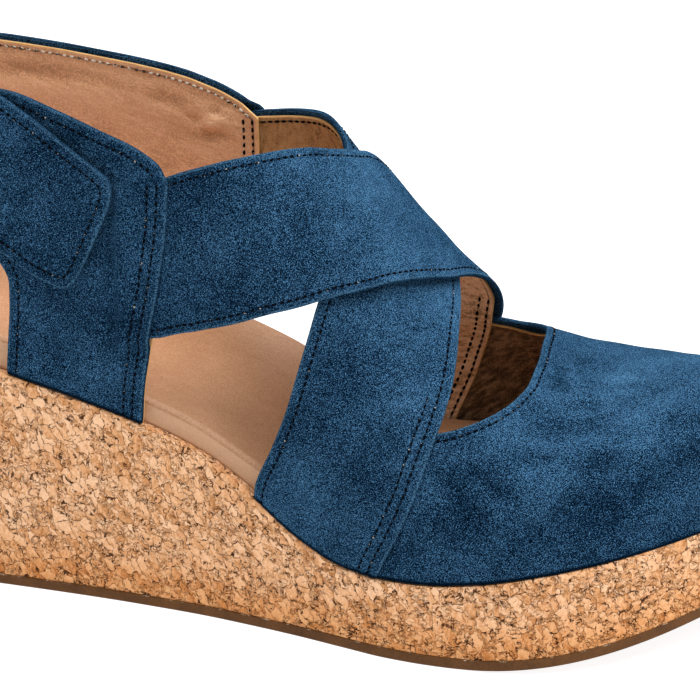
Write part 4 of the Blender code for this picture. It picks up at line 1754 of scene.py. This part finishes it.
    def strap_sheet(self, cut: StrapCut, step: float, trim: float = 0.0) -> tuple[Sheet, Array, Array]:
        """Strap from one quarter over the instep to the other side of the vamp, on the last.

        Args:
            cut: Strap to lay.
            step: Size of a face.
            trim: Share of the full trim that its long edges are cut back by.

        Returns:
            The sheet, with runs back, front, start and end, and each point's place along and across.
        """
        table = cut.places
        along = spaced(self.strap_length, step)[:, None]
        inset = trim * self.trim / self.strap_width
        ridge = trim * self.ridge_trim / self.strap_width * bell(along - self.ridge_along, self.ridge_width)
        t = mix(inset, 1.0 - (inset + ridge), spaced(self.strap_width, step))
        x = mix(table.at("back_x", along), table.at("front_x", along), t)
        angle = mix(table.at("back_angle", along), table.at("front_angle", along), t)
        sheet = Sheet([Patch(FORM.last_point(x, angle if cut.side is Side.OUTER else 180.0 - angle))])
        ids = sheet.ids[0]
        sheet.runs.update(back=ids[:, 0], front=ids[:, -1], start=ids[0], end=ids[-1])
        places = np.zeros((2, len(sheet.points)))
        places[0][ids] = np.broadcast_to(along, ids.shape)
        places[1][ids] = np.broadcast_to(t, ids.shape)
        return sheet, places[0], places[1]

    def quarter_sheet(self, side: Side, step: float, trim: float = 0.0) -> Sheet:
        """Side panel from the wedge to the collar, with its ear, on the foot's wall.

        Args:
            side: Side of the foot.
            step: Size of a face.
            trim: Share of the full trim that its top is cut back by.

        Returns:
            The sheet, with runs front, top, ear, under, back and foot.
        """
        reach = FORM.heel_arc - FORM.heel_centre
        name = f"{side.name.lower()}_top"
        cut = trim * self.trim
        ahead = self.inner_front if side is Side.INNER else 0.0
        leg_start = float(QUARTER.at("back", self.leg_join)) + reach
        ear = spaced(self.ear_length, step)[:-1]
        leg = spaced(self.leg_width, step)
        band = spaced(self.band_height, step)
        rise = 1.0 - (1.0 - spaced(self.leg_height, step)) ** self.leg_spread
        ear_u = np.broadcast_to(mix(self.ear_end, leg_start, ear)[:, None], (len(ear), len(band)))
        ear_z = mix(EAR.at("bottom", ear_u), EAR.at(name, ear_u) - cut, band)
        edge = QUARTER.at("front", mix(self.leg_join, self.collar_front, band)) + ahead + reach
        leg_u = mix(leg_start, edge, leg[:, None])
        leg_z = mix(self.leg_join, EAR.at(name, leg_u) - cut, band)
        upper = FORM.wall_point(side.value * np.concatenate([ear_u, leg_u]), np.concatenate([ear_z, leg_z]))
        foot_x = mix(float(QUARTER.at("back", self.foot_back)),
                     float(QUARTER.at("front", self.foot_front)) + ahead, leg)
        low_z = mix((SOLE.at("top", foot_x) + FORM.seat)[:, None], self.leg_join, rise)
        low_x = mix(QUARTER.at("back", low_z), QUARTER.at("front", low_z) + ahead, leg[:, None])
        lower = FORM.wall_point(side.value * (low_x + reach), low_z)
        sheet = Sheet([Patch(upper), Patch(lower)])
        high, low = sheet.ids
        sheet.runs.update(front=np.concatenate([low[-1], high[-1][1:]]), top=high[:, -1], ear=high[0],
                          under=high[:len(ear) + 1, 0], back=low[0], foot=low[:, 0])
        return sheet

    def relief(self, points: Array) -> Array:
        """Slow unevenness of a hand-lasted panel, in millimetres."""
        x, y, z = points.T
        return self.unevenness * (np.sin(0.31 * x + 0.22 * z) + np.sin(0.27 * y - 0.36 * z + 1.3)
                                  + np.sin(0.52 * x - 0.41 * y + 2.1))

    def edging(self, edge: Array, *rows: Array) -> Array:
        """Rolled edge and the grooves that rows of stitches pull in.

        Args:
            edge: Distance from a cut edge.
            rows: Signed distances from the rows.

        Returns:
            Offsets in millimetres.
        """
        grooves = sum(bell(row, GROOVE_WIDTH) for row in rows)
        return -self.roll * bell(edge, ROLL_WIDTH) - self.groove * grooves

    def panel(self, name: str, sheet: Sheet, low: Values, high: Values,
              marks: dict[str, Array]) -> Skin:
        """Make one suede panel and place it.

        Args:
            name: Name of the piece.
            sheet: Surface that it lies on.
            low: Offset of its inner side.
            high: Offset of its outer side.
            marks: Values that its finish reads.

        Returns:
            Its skin.
        """
        bulge = mix(self.foot_bulge, self.bulge, smooth(*self.foot_fade, marks[FOOT]))
        skin = thicken(sheet, low, high, bulge, marks)
        place(skin.piece(name, self.suede), Slot.SUEDE, "upper")
        return skin

    def backing(self, name: str, sheet: Sheet, low: Values, high: Values, edge: Array,
                material: Material, fold: Values = 0.0) -> Skin:
        """Make the lining of one panel and place it.

        Args:
            name: Name of the piece.
            sheet: Surface that it lies on.
            low: Offset of its inner side.
            high: Offset of its outer side.
            edge: Distance from its raw edges.
            material: Finish of the lining.
            fold: Height of its creases, painted as light and shade in its tone.

        Returns:
            Its side towards the foot.
        """
        marks = {EDGE: edge, PAINTED_LIGHT: np.broadcast_to(fold, edge.shape)}
        skin = thicken(sheet, low, high, self.lining_bulge, marks, LINING_RINGS)
        place(skin.piece(name, material), Slot.LINING, "upper")
        return skin.inner()

    def build_vamp(self) -> Array:
        """Make the vamp.

        Returns:
            Points of its surface, for what laps over it.
        """
        sheet = self.vamp_sheet(self.step)
        edge = sheet.distance("throat")
        foot = sheet.distance("foot")
        row = edge - self.near_row
        creased = sum(crease.offset(sheet.points) for crease in self.creases)
        free = smooth(*self.foot_ease, foot) * smooth(*self.throat_ease, edge)
        high = self.wall + free * (creased + self.relief(sheet.points)) + self.edging(edge, row)
        # The vamp's creases are also painted into its tone: shade in the troughs, light on the ridges
        marks = suede_marks(edge, row, foot=foot, fold=free * creased)
        skin = self.panel("vamp", sheet, self.lining_thick, high, marks)
        self.rows.suede.add(sheet, skin, high, "throat", self.near_row)
        inside = self.vamp_sheet(self.lining_step, 1.0)
        raw = inside.distance("throat")
        self.backing("vamp_lining", inside, 0.0, self.lining_thick, raw, self.toe_lining)
        return sheet.points

    def strap_offsets(self, cut: StrapCut, step: float, trim: float,
                      vamp: Array) -> tuple[Sheet, Array, Array, Array, Array]:
        """Sheet of one crossed strap and how far it stands off the last.

        Args:
            cut: Strap to lay.
            step: Size of a face.
            trim: Share of the full trim.
            vamp: Points of the vamp that it laps over.

        Returns:
            The sheet, each point's place along it, its lift, its share of the full lift and its lap on
            the vamp.
        """
        sheet, along, across = self.strap_sheet(cut, step, trim)
        lift = cut.places.at("lift", along)
        cross = np.clip(lift / self.full_lift, 0.0, 1.0) if cut.side is Side.OUTER else np.zeros_like(lift)
        lift = lift + self.crown * cross * (1.0 - (2.0 * across - 1.0) ** 2)
        lap = smooth(*self.vamp_reach, nearest_distance(sheet.points, vamp))
        lap = lap * smooth(*self.vamp_start, along)
        return sheet, along, lift, cross, lap

    def build_strap(self, name: str, cut: StrapCut, vamp: Array) -> Array:
        """Make one crossed strap.

        Args:
            name: Name of the piece.
            cut: Strap to make.
            vamp: Points of the vamp that it laps over.

        Returns:
            Points of its surface, for the quarter that laps over it.
        """
        sheet, along, lift, cross, lap = self.strap_offsets(cut, self.step, 0.0, vamp)
        edge = sheet.distance("back", "front")
        foot = sheet.distance("end")
        row = edge - cut.row
        single = smooth(cut.second_start + 0.02, cut.second_start - 0.04, along)
        second = sheet.distance("front") - self.second_row + FAR * single
        # Painted highlight: a band of lighter tone across the strap
        shine = cut.shine * bell(along - cut.shine_place, cut.shine_width)
        high = (lift + self.wall + self.cross_high * cross + smooth(*EASE, edge) * self.relief(sheet.points)
                + self.edging(edge, row, second) - self.skive * smooth(self.skive_width, 0.0, foot))
        low = mix(lift + self.lining_thick + self.cross_middle * cross, self.wall - self.overlap, lap)
        skin = self.panel(name, sheet, low, high, suede_marks(edge, row, lap=second, foot=foot, fold=shine))
        for run in ("back", "front"):
            self.rows.suede.add(sheet, skin, high, run, cut.row)
        self.rows.suede.add(sheet, skin, high, "front", self.second_row, (cut.second_start, 1.0))
        points = sheet.points
        sheet, along, lift, cross, lap = self.strap_offsets(cut, self.lining_step, 1.0, vamp)
        low = mix(lift + self.cross_low * cross, -self.lining_thick, lap)
        high = mix(lift + self.lining_thick + self.cross_middle * cross, 0.0, lap)
        raw = sheet.distance("back", "front")
        inside = self.backing(f"{name}_lining", sheet, low, high, raw, self.strap_linings[cut.side])
        for inset in self.lining_rows:
            self.rows.lining.add(sheet, inside, low, "front", inset, self.strap_end)
        self.rows.lining.add(sheet, inside, low, "back", self.collar_row, self.strap_middle)
        return points

    def build_quarter(self, name: str, side: Side, strap: Array) -> None:
        """Make one quarter.

        Args:
            name: Name of the piece.
            side: Side of the foot.
            strap: Points of the strap that it laps over.
        """
        sheet = self.quarter_sheet(side, self.step)
        lap = smooth(*self.strap_reach, nearest_distance(sheet.points, strap))
        edge = sheet.distance(*self.free_edges)
        foot = sheet.distance("foot")
        row = edge - self.row
        second = sheet.distance("front") - self.second_row
        high = (self.wall + self.quarter_lap * lap + smooth(*EASE, edge) * self.relief(sheet.points)
                + self.edging(edge, row, second))
        low = mix(self.lining_thick, self.wall + self.lap_gap, lap)
        skin = self.panel(name, sheet, low, high, suede_marks(edge, row, lap=second, foot=foot))
        for run in ("back", "top"):
            self.rows.suede.add(sheet, skin, high, run, self.row, self.row_span)
        for inset in (self.row, self.second_row):
            self.rows.suede.add(sheet, skin, high, "front", inset, self.front_span)
        sheet = self.quarter_sheet(side, self.step, 1.0)
        lap = smooth(*self.strap_reach, nearest_distance(sheet.points, strap))
        raw = sheet.distance(*self.free_edges)
        free = smooth(*self.collar_ease, raw)
        creased = sum(crease.offset(sheet.points * (1.0, side.value, 1.0)) for crease in self.collar_creases)
        low = -self.lining_thick * lap - free * (self.collar_pad + creased)
        high = mix(self.lining_thick, 0.0, lap)
        # The collar creases are also painted into the lining's tone as light and shade
        inside = self.backing(f"{name}_lining", sheet, low, high, raw, self.lining, free * creased)
        for inset in self.lining_rows:
            self.rows.lining.add(sheet, inside, low, "front", inset, self.row_span)
        self.rows.collar.add(sheet, inside, low, "top", self.collar_row, self.row_span)

    def build(self) -> None:
        """Make every panel of the upper."""
        vamp = self.build_vamp()
        under = self.build_strap("under_strap", self.under, vamp)
        over = self.build_strap("over_strap", self.over, vamp)
        self.build_quarter("outer_quarter", Side.OUTER, over)
        self.build_quarter("inner_quarter", Side.INNER, under)


@dataclass
class HeelStrap:
    """Band round the heel, sewn on the inner side, with a rounded fastening tab on the outer side."""

    suede: Material
    lining: Material
    seams: Seams
    step: float = 0.85
    lining_step: float = 1.3
    lift: float = 2.3
    wall: float = 2.0
    lining_thick: float = 0.6
    bulge: float = 0.35
    lining_bulge: float = 0.22
    groove: float = 0.16
    unevenness: float = 0.1
    length: float = 165.0
    width: float = 44.0
    half_width: float = 15.0
    trim: float = 1.0
    corner_start: float = 0.968
    corner_reach: float = 0.032
    tab_start: float = 0.8
    tab_lift: float = 0.9
    row: float = 2.1
    second_row: float = 4.3
    lining_row: float = 1.2
    start_span: Span = (0.06, 0.94)

    def sheet(self, step: float, trim: float = 0.0) -> tuple[Sheet, Array]:
        """Band on the foot's wall.

        Args:
            step: Size of a face.
            trim: How far its edges are cut back.

        Returns:
            The sheet, with runs rim and start, and how far along the band each point is.
        """
        cut = trim / self.length
        t = np.sin(0.5 * math.pi * np.linspace(-1.0, 1.0, round(self.width / step) + 1))
        end = self.corner_start + self.corner_reach * (1.0 - np.abs(t) ** 5) ** (1.0 / 3.0) - cut
        along = mix(2.0 * cut, end, spaced(self.length, step)[:, None])
        height = 0.5 + 0.5 * t * (1.0 - trim / self.half_width)
        u = mix(HEEL_STRAP.at("lower_u", along), HEEL_STRAP.at("upper_u", along), height)
        z = mix(HEEL_STRAP.at("lower_z", along), HEEL_STRAP.at("upper_z", along), height)
        sheet = Sheet([Patch(FORM.wall_point(u, z))])
        ids = sheet.ids[0]
        sheet.runs["rim"] = np.concatenate([ids[:, 0], ids[-1, 1:], ids[:-1, -1][::-1]])
        sheet.runs["start"] = ids[0]
        places = np.zeros(len(sheet.points))
        places[ids] = along
        return sheet, places

    def offset(self, along: Array) -> Array:
        """Offset of the band's inner side, which stands off a little at the tab."""
        return self.lift + self.tab_lift * smooth(self.tab_start, 1.0, along)

    def build(self) -> None:
        """Make the band, its lining and its rows of stitches."""
        sheet, along = self.sheet(self.step)
        edge = sheet.distance("rim", "start")
        x, y, z = sheet.points.T
        uneven = self.unevenness * (np.sin(0.3 * x + 0.5 * z) + np.sin(0.35 * y - 0.3 * z))
        row = edge - self.row
        low = self.offset(along)
        high = (low + self.wall + uneven * smooth(*EASE, edge)
                - self.groove * (bell(edge, ROLL_WIDTH) + bell(row, GROOVE_WIDTH)))
        skin = thicken(sheet, low + self.lining_thick, high, self.bulge, suede_marks(edge, row))
        place(skin.piece("heel_strap_suede", self.suede), Slot.SUEDE, "heel_strap")
        self.seams.add(sheet, skin, high, "rim", self.row)
        for inset in (self.row, self.second_row):
            self.seams.add(sheet, skin, high, "start", inset, self.start_span)
        sheet, along = self.sheet(self.lining_step, self.trim)
        low = self.offset(along)
        marks = {EDGE: sheet.distance("rim", "start")}
        lining = thicken(sheet, low, low + self.lining_thick, self.lining_bulge, marks, LINING_RINGS)
        place(lining.piece("heel_strap_lining", self.lining), Slot.LINING, "heel_strap")
        self.seams.add(sheet, lining.inner(), low, "rim", self.lining_row)


@dataclass
class Sole:
    """Cork wedge on a thin rubber outsole."""

    cork: Cork
    cork_material: Material
    rubber: Material
    outsole_thick: float = 2.5
    outsole_proud: float = 0.3
    outsole_round: float = 0.45
    outsole_lip: float = 0.2
    uncemented: float = 5.0
    gap: float = 0.05
    edge: float = 0.9
    cork_step: float = 0.62
    cork_across: int = 10
    seat_fade: float = 0.03
    top_share: float = 0.6
    outsole_step: float = 1.2
    outsole_across: int = 12

    def build_outsole(self) -> None:
        """Make the outsole, flat from heel to ball and sprung at the toe."""
        plan = SolePlan(-self.outsole_proud, self.outsole_step)
        low = FORM.spring(plan.x)
        rings = []
        marks = []
        bend = self.outsole_round
        lip = self.outsole_lip
        shoulder = self.outsole_thick - lip
        for turn in np.linspace(0.0, 0.5 * math.pi, 5):
            rings.append(plan.ring(bend * (1.0 - math.sin(turn)), low + bend * (1.0 - math.cos(turn))))
            marks.append(self.uncemented)
        for share in np.linspace(0.2, 1.0, 6):
            rings.append(plan.ring(0.0, low + mix(bend, shoulder, share)))
            marks.append((self.outsole_thick - bend) * (1.0 - share) + lip)
        for turn in np.linspace(0.0, 0.5 * math.pi, 4)[1:]:
            rings.append(plan.ring(lip * (1.0 - math.cos(turn)), low + shoulder + lip * math.sin(turn)))
            marks.append(0.5 * lip)
        skin = plan.solid(rings, self.outsole_across, {EDGE: marks})
        place(skin.piece("outsole_sheet", self.rubber), Slot.RUBBER, "outsole")

    def build_cork(self) -> None:
        """Make the wedge from the outsole to the rim, with chips pressed into its side."""
        plan = SolePlan(0.0, self.cork_step)
        low = FORM.spring(plan.x) + self.outsole_thick + self.gap
        high = SOLE.at("top", plan.x)
        levels = round(float((high - low).max()) / self.cork_step)
        rings = []
        shares = []
        for share in np.linspace(0.0, 1.0, levels + 1):
            rings.append(plan.ring(0.0, mix(low, high - self.edge, share)))
            shares.append(float(smooth(0.0, self.seat_fade, np.array(share))))
        for turn in np.linspace(0.0, 0.5 * math.pi, 4)[1:]:
            rings.append(plan.ring(self.edge * (1.0 - math.cos(turn)),
                                   high - self.edge * (1.0 - math.sin(turn))))
            shares.append(self.top_share * (1.0 - turn / (0.5 * math.pi)))
        skin = plan.solid(rings, self.cork_across, {RELIEF: shares})
        item = skin.piece("cork_block", self.cork_material)
        run_tree(item, self.cork.tree(self.cork_material), {"Depth": self.cork.relief * MM})
        place(item, Slot.CORK, "cork_wedge")

    def build(self) -> None:
        """Make both pieces."""
        self.build_outsole()
        self.build_cork()


@dataclass
class Footbed:
    """Moulded footbed inside the upper, cupped below a rounded rim that rises under the arch."""

    leather: Material
    inset: float = 3.2
    gap: float = 0.1
    taper: float = 0.8
    crest: float = 1.6
    step: float = 1.1
    faces_across: int = 48
    heel_ease: float = 22.0
    toe_ease: float = 30.0
    firmness: float = 0.9

    def top(self, x: Array, across: Array) -> Array:
        """Height of the footbed's top.

        Args:
            x: Places along the foot.
            across: Places across it, from -1 on the outer side to 1 on the inner side.

        Returns:
            Heights in millimetres.
        """
        start, end = self.inset, FORM.length - self.inset
        ends = smooth(start, start + self.heel_ease, x) * smooth(end, end - self.toe_ease, x)
        rim = mix(FOOTBED.at("outer", x), FOOTBED.at("inner", x), 0.5 * (across + 1.0))
        return SOLE.at("top", x) + rim - FOOTBED.at("cup", x) * ends * (1.0 - np.abs(across) ** 3)

    def build(self) -> None:
        """Make the footbed."""
        plan = SolePlan(self.inset, self.step)
        low = SOLE.at("top", plan.x) + self.gap
        across = np.where(np.arange(len(plan.x)) <= plan.count, Side.OUTER.value, Side.INNER.value)
        rim = self.top(plan.x, across)
        rings = [plan.ring(self.taper * share, mix(low, rim - self.crest, share))
                 for share in np.linspace(0.0, 1.0, 7)]
        # Marks for the finish: -1 on the side wall for its painted light, a bump on the crest for its band of
        # wear and painted highlight
        rubbed_and_lit = [-1.0] * len(rings)
        for turn in np.linspace(0.0, 0.5 * math.pi, 8)[1:]:
            rings.append(plan.ring(self.taper + self.crest * (1.0 - math.cos(turn)),
                                   rim - self.crest * (1.0 - math.sin(turn))))
            rubbed_and_lit.append(float(np.sin(2.0 * turn) ** 2 - smooth(0.9, 0.1, turn)))
        skin = plan.solid(rings, self.faces_across, {EDGE: rubbed_and_lit}, self.top)
        item = place(skin.piece("footbed", self.leather), Slot.INSOLE, "insole")


@dataclass(frozen=True)
class Studio:
    """White floor, soft light and the camera at the photograph's angle."""

    azimuth: float = 14.8
    elevation: float = 20.03
    distance: float = 0.563
    target: Triple = (0.04734, 0.0, 0.05519)
    pixels_per_mm: float = 4.305
    image_side: float = 700.0
    sensor: float = 36.0
    nearest: float = 0.01
    floor_side: float = 8.0
    floor_faces: int = 4
    fill: float = 0.32
    key_strength: float = 4.6
    key_spread: float = 70.0
    key_place: Triple = (0.35, 0.10, 1.0)
    floor_glow: float = 0.9
    floor_shade: float = 0.4

    def camera(self) -> None:
        """Set the camera."""
        turn = math.radians(self.azimuth)
        rise = math.radians(self.elevation)
        back = Vector((math.sin(turn) * math.cos(rise), -math.cos(turn) * math.cos(rise), math.sin(rise)))
        data = bpy.data.cameras.new("camera")
        data.sensor_width = self.sensor
        data.lens = self.sensor * self.pixels_per_mm * (self.distance / MM) / self.image_side
        data.clip_start = self.nearest
        item = link("camera", data)
        item.location = Vector(self.target) + back * self.distance
        item.rotation_euler = (-back).to_track_quat("-Z", "Y").to_euler()
        bpy.context.scene.camera = item

    def floor(self) -> None:
        """Lay the floor."""
        mesh = bpy.data.meshes.new("floor")
        work = bmesh.new()
        bmesh.ops.create_grid(work, x_segments=self.floor_faces, y_segments=self.floor_faces,
                              size=0.5 * self.floor_side)
        work.to_mesh(mesh)
        work.free()
        item = link("floor", mesh)
        finish = Finish("white_floor")
        shade = self.floor_shade
        finish.set(Base_Color=(shade, shade, shade), Roughness=0.9, Specular_IOR_Level=0.1,
                   Emission_Color=(1.0, 1.0, 1.0), Emission_Strength=self.floor_glow)
        mesh.materials.append(finish.material)

    def light(self) -> None:
        """Set the broad soft light above the toe and the white surroundings."""
        data = bpy.data.lights.new("key", "SUN")
        data.energy = self.key_strength
        data.angle = math.radians(self.key_spread)
        item = link("key", data)
        item.location = self.key_place
        aim = Vector(self.target) - Vector(self.key_place)
        item.rotation_euler = aim.to_track_quat("-Z", "Y").to_euler()
        world = bpy.data.worlds.new("studio")
        world.use_nodes = True
        backdrop = world.node_tree.nodes["Background"]
        backdrop.inputs["Color"].default_value = (1.0, 1.0, 1.0, 1.0)
        backdrop.inputs["Strength"].default_value = self.fill
        bpy.context.scene.world = world
        bpy.context.scene.view_settings.view_transform = "Standard"

    def build(self) -> None:
        """Set everything round the shoe."""
        self.camera()
        self.floor()
        self.light()


def main() -> None:
    """Dress the shoe and set the studio."""
    logging.basicConfig(level=logging.INFO, format="%(name)s %(message)s")
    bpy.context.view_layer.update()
    suede = Suede().make()
    lining = Lining().make()
    # Partly painted light: a lighter copy of the tan lining, also more golden in hue, for the shaded inside
    # of the over strap
    over_lining = Lining("golden_lining", (0.360, 0.210, 0.110), (0.860, 0.550, 0.330), (0.980, 0.740, 0.530),
                         wrinkle_tone=1.1, lean=0.1, fold_depth=1.2).make()
    under_lining = Lining("ochre_lining", (0.170, 0.084, 0.028), (0.410, 0.216, 0.080), (0.500, 0.300, 0.130),
                          wrinkle_tone=0.9, lean=1.45, fold_depth=1.2).make()
    strap_linings = {Side.OUTER: over_lining, Side.INNER: under_lining}
    # Painted shade: a dark copy of the tan lining for the shaded inside of the toe
    toe_lining = Lining("brown_lining", (0.050, 0.030, 0.014), (0.150, 0.090, 0.046), (0.340, 0.220, 0.125),
                        wrinkle_tone=1.3, lean=0.7, fold_depth=1.4).make()
    thread = Thread().make()
    pale_thread = Thread("pale_thread", (0.620, 0.550, 0.460), (0.060, 0.042, 0.030), 0.52).make()
    cork = Cork()
    rows = Rows()
    strap_seams = Seams("heel_strap_seams")
    Studio().build()
    Sole(cork, cork.make(), Rubber().make()).build()
    Footbed(FootbedLeather().make()).build()
    Upper(suede, lining, strap_linings, toe_lining, rows).build()
    HeelStrap(suede, lining, strap_seams).build()
    for seams in (rows.suede, rows.lining, strap_seams):
        seams.build(thread)
    rows.collar.build(pale_thread)


if __name__ == "__main__":
    main()
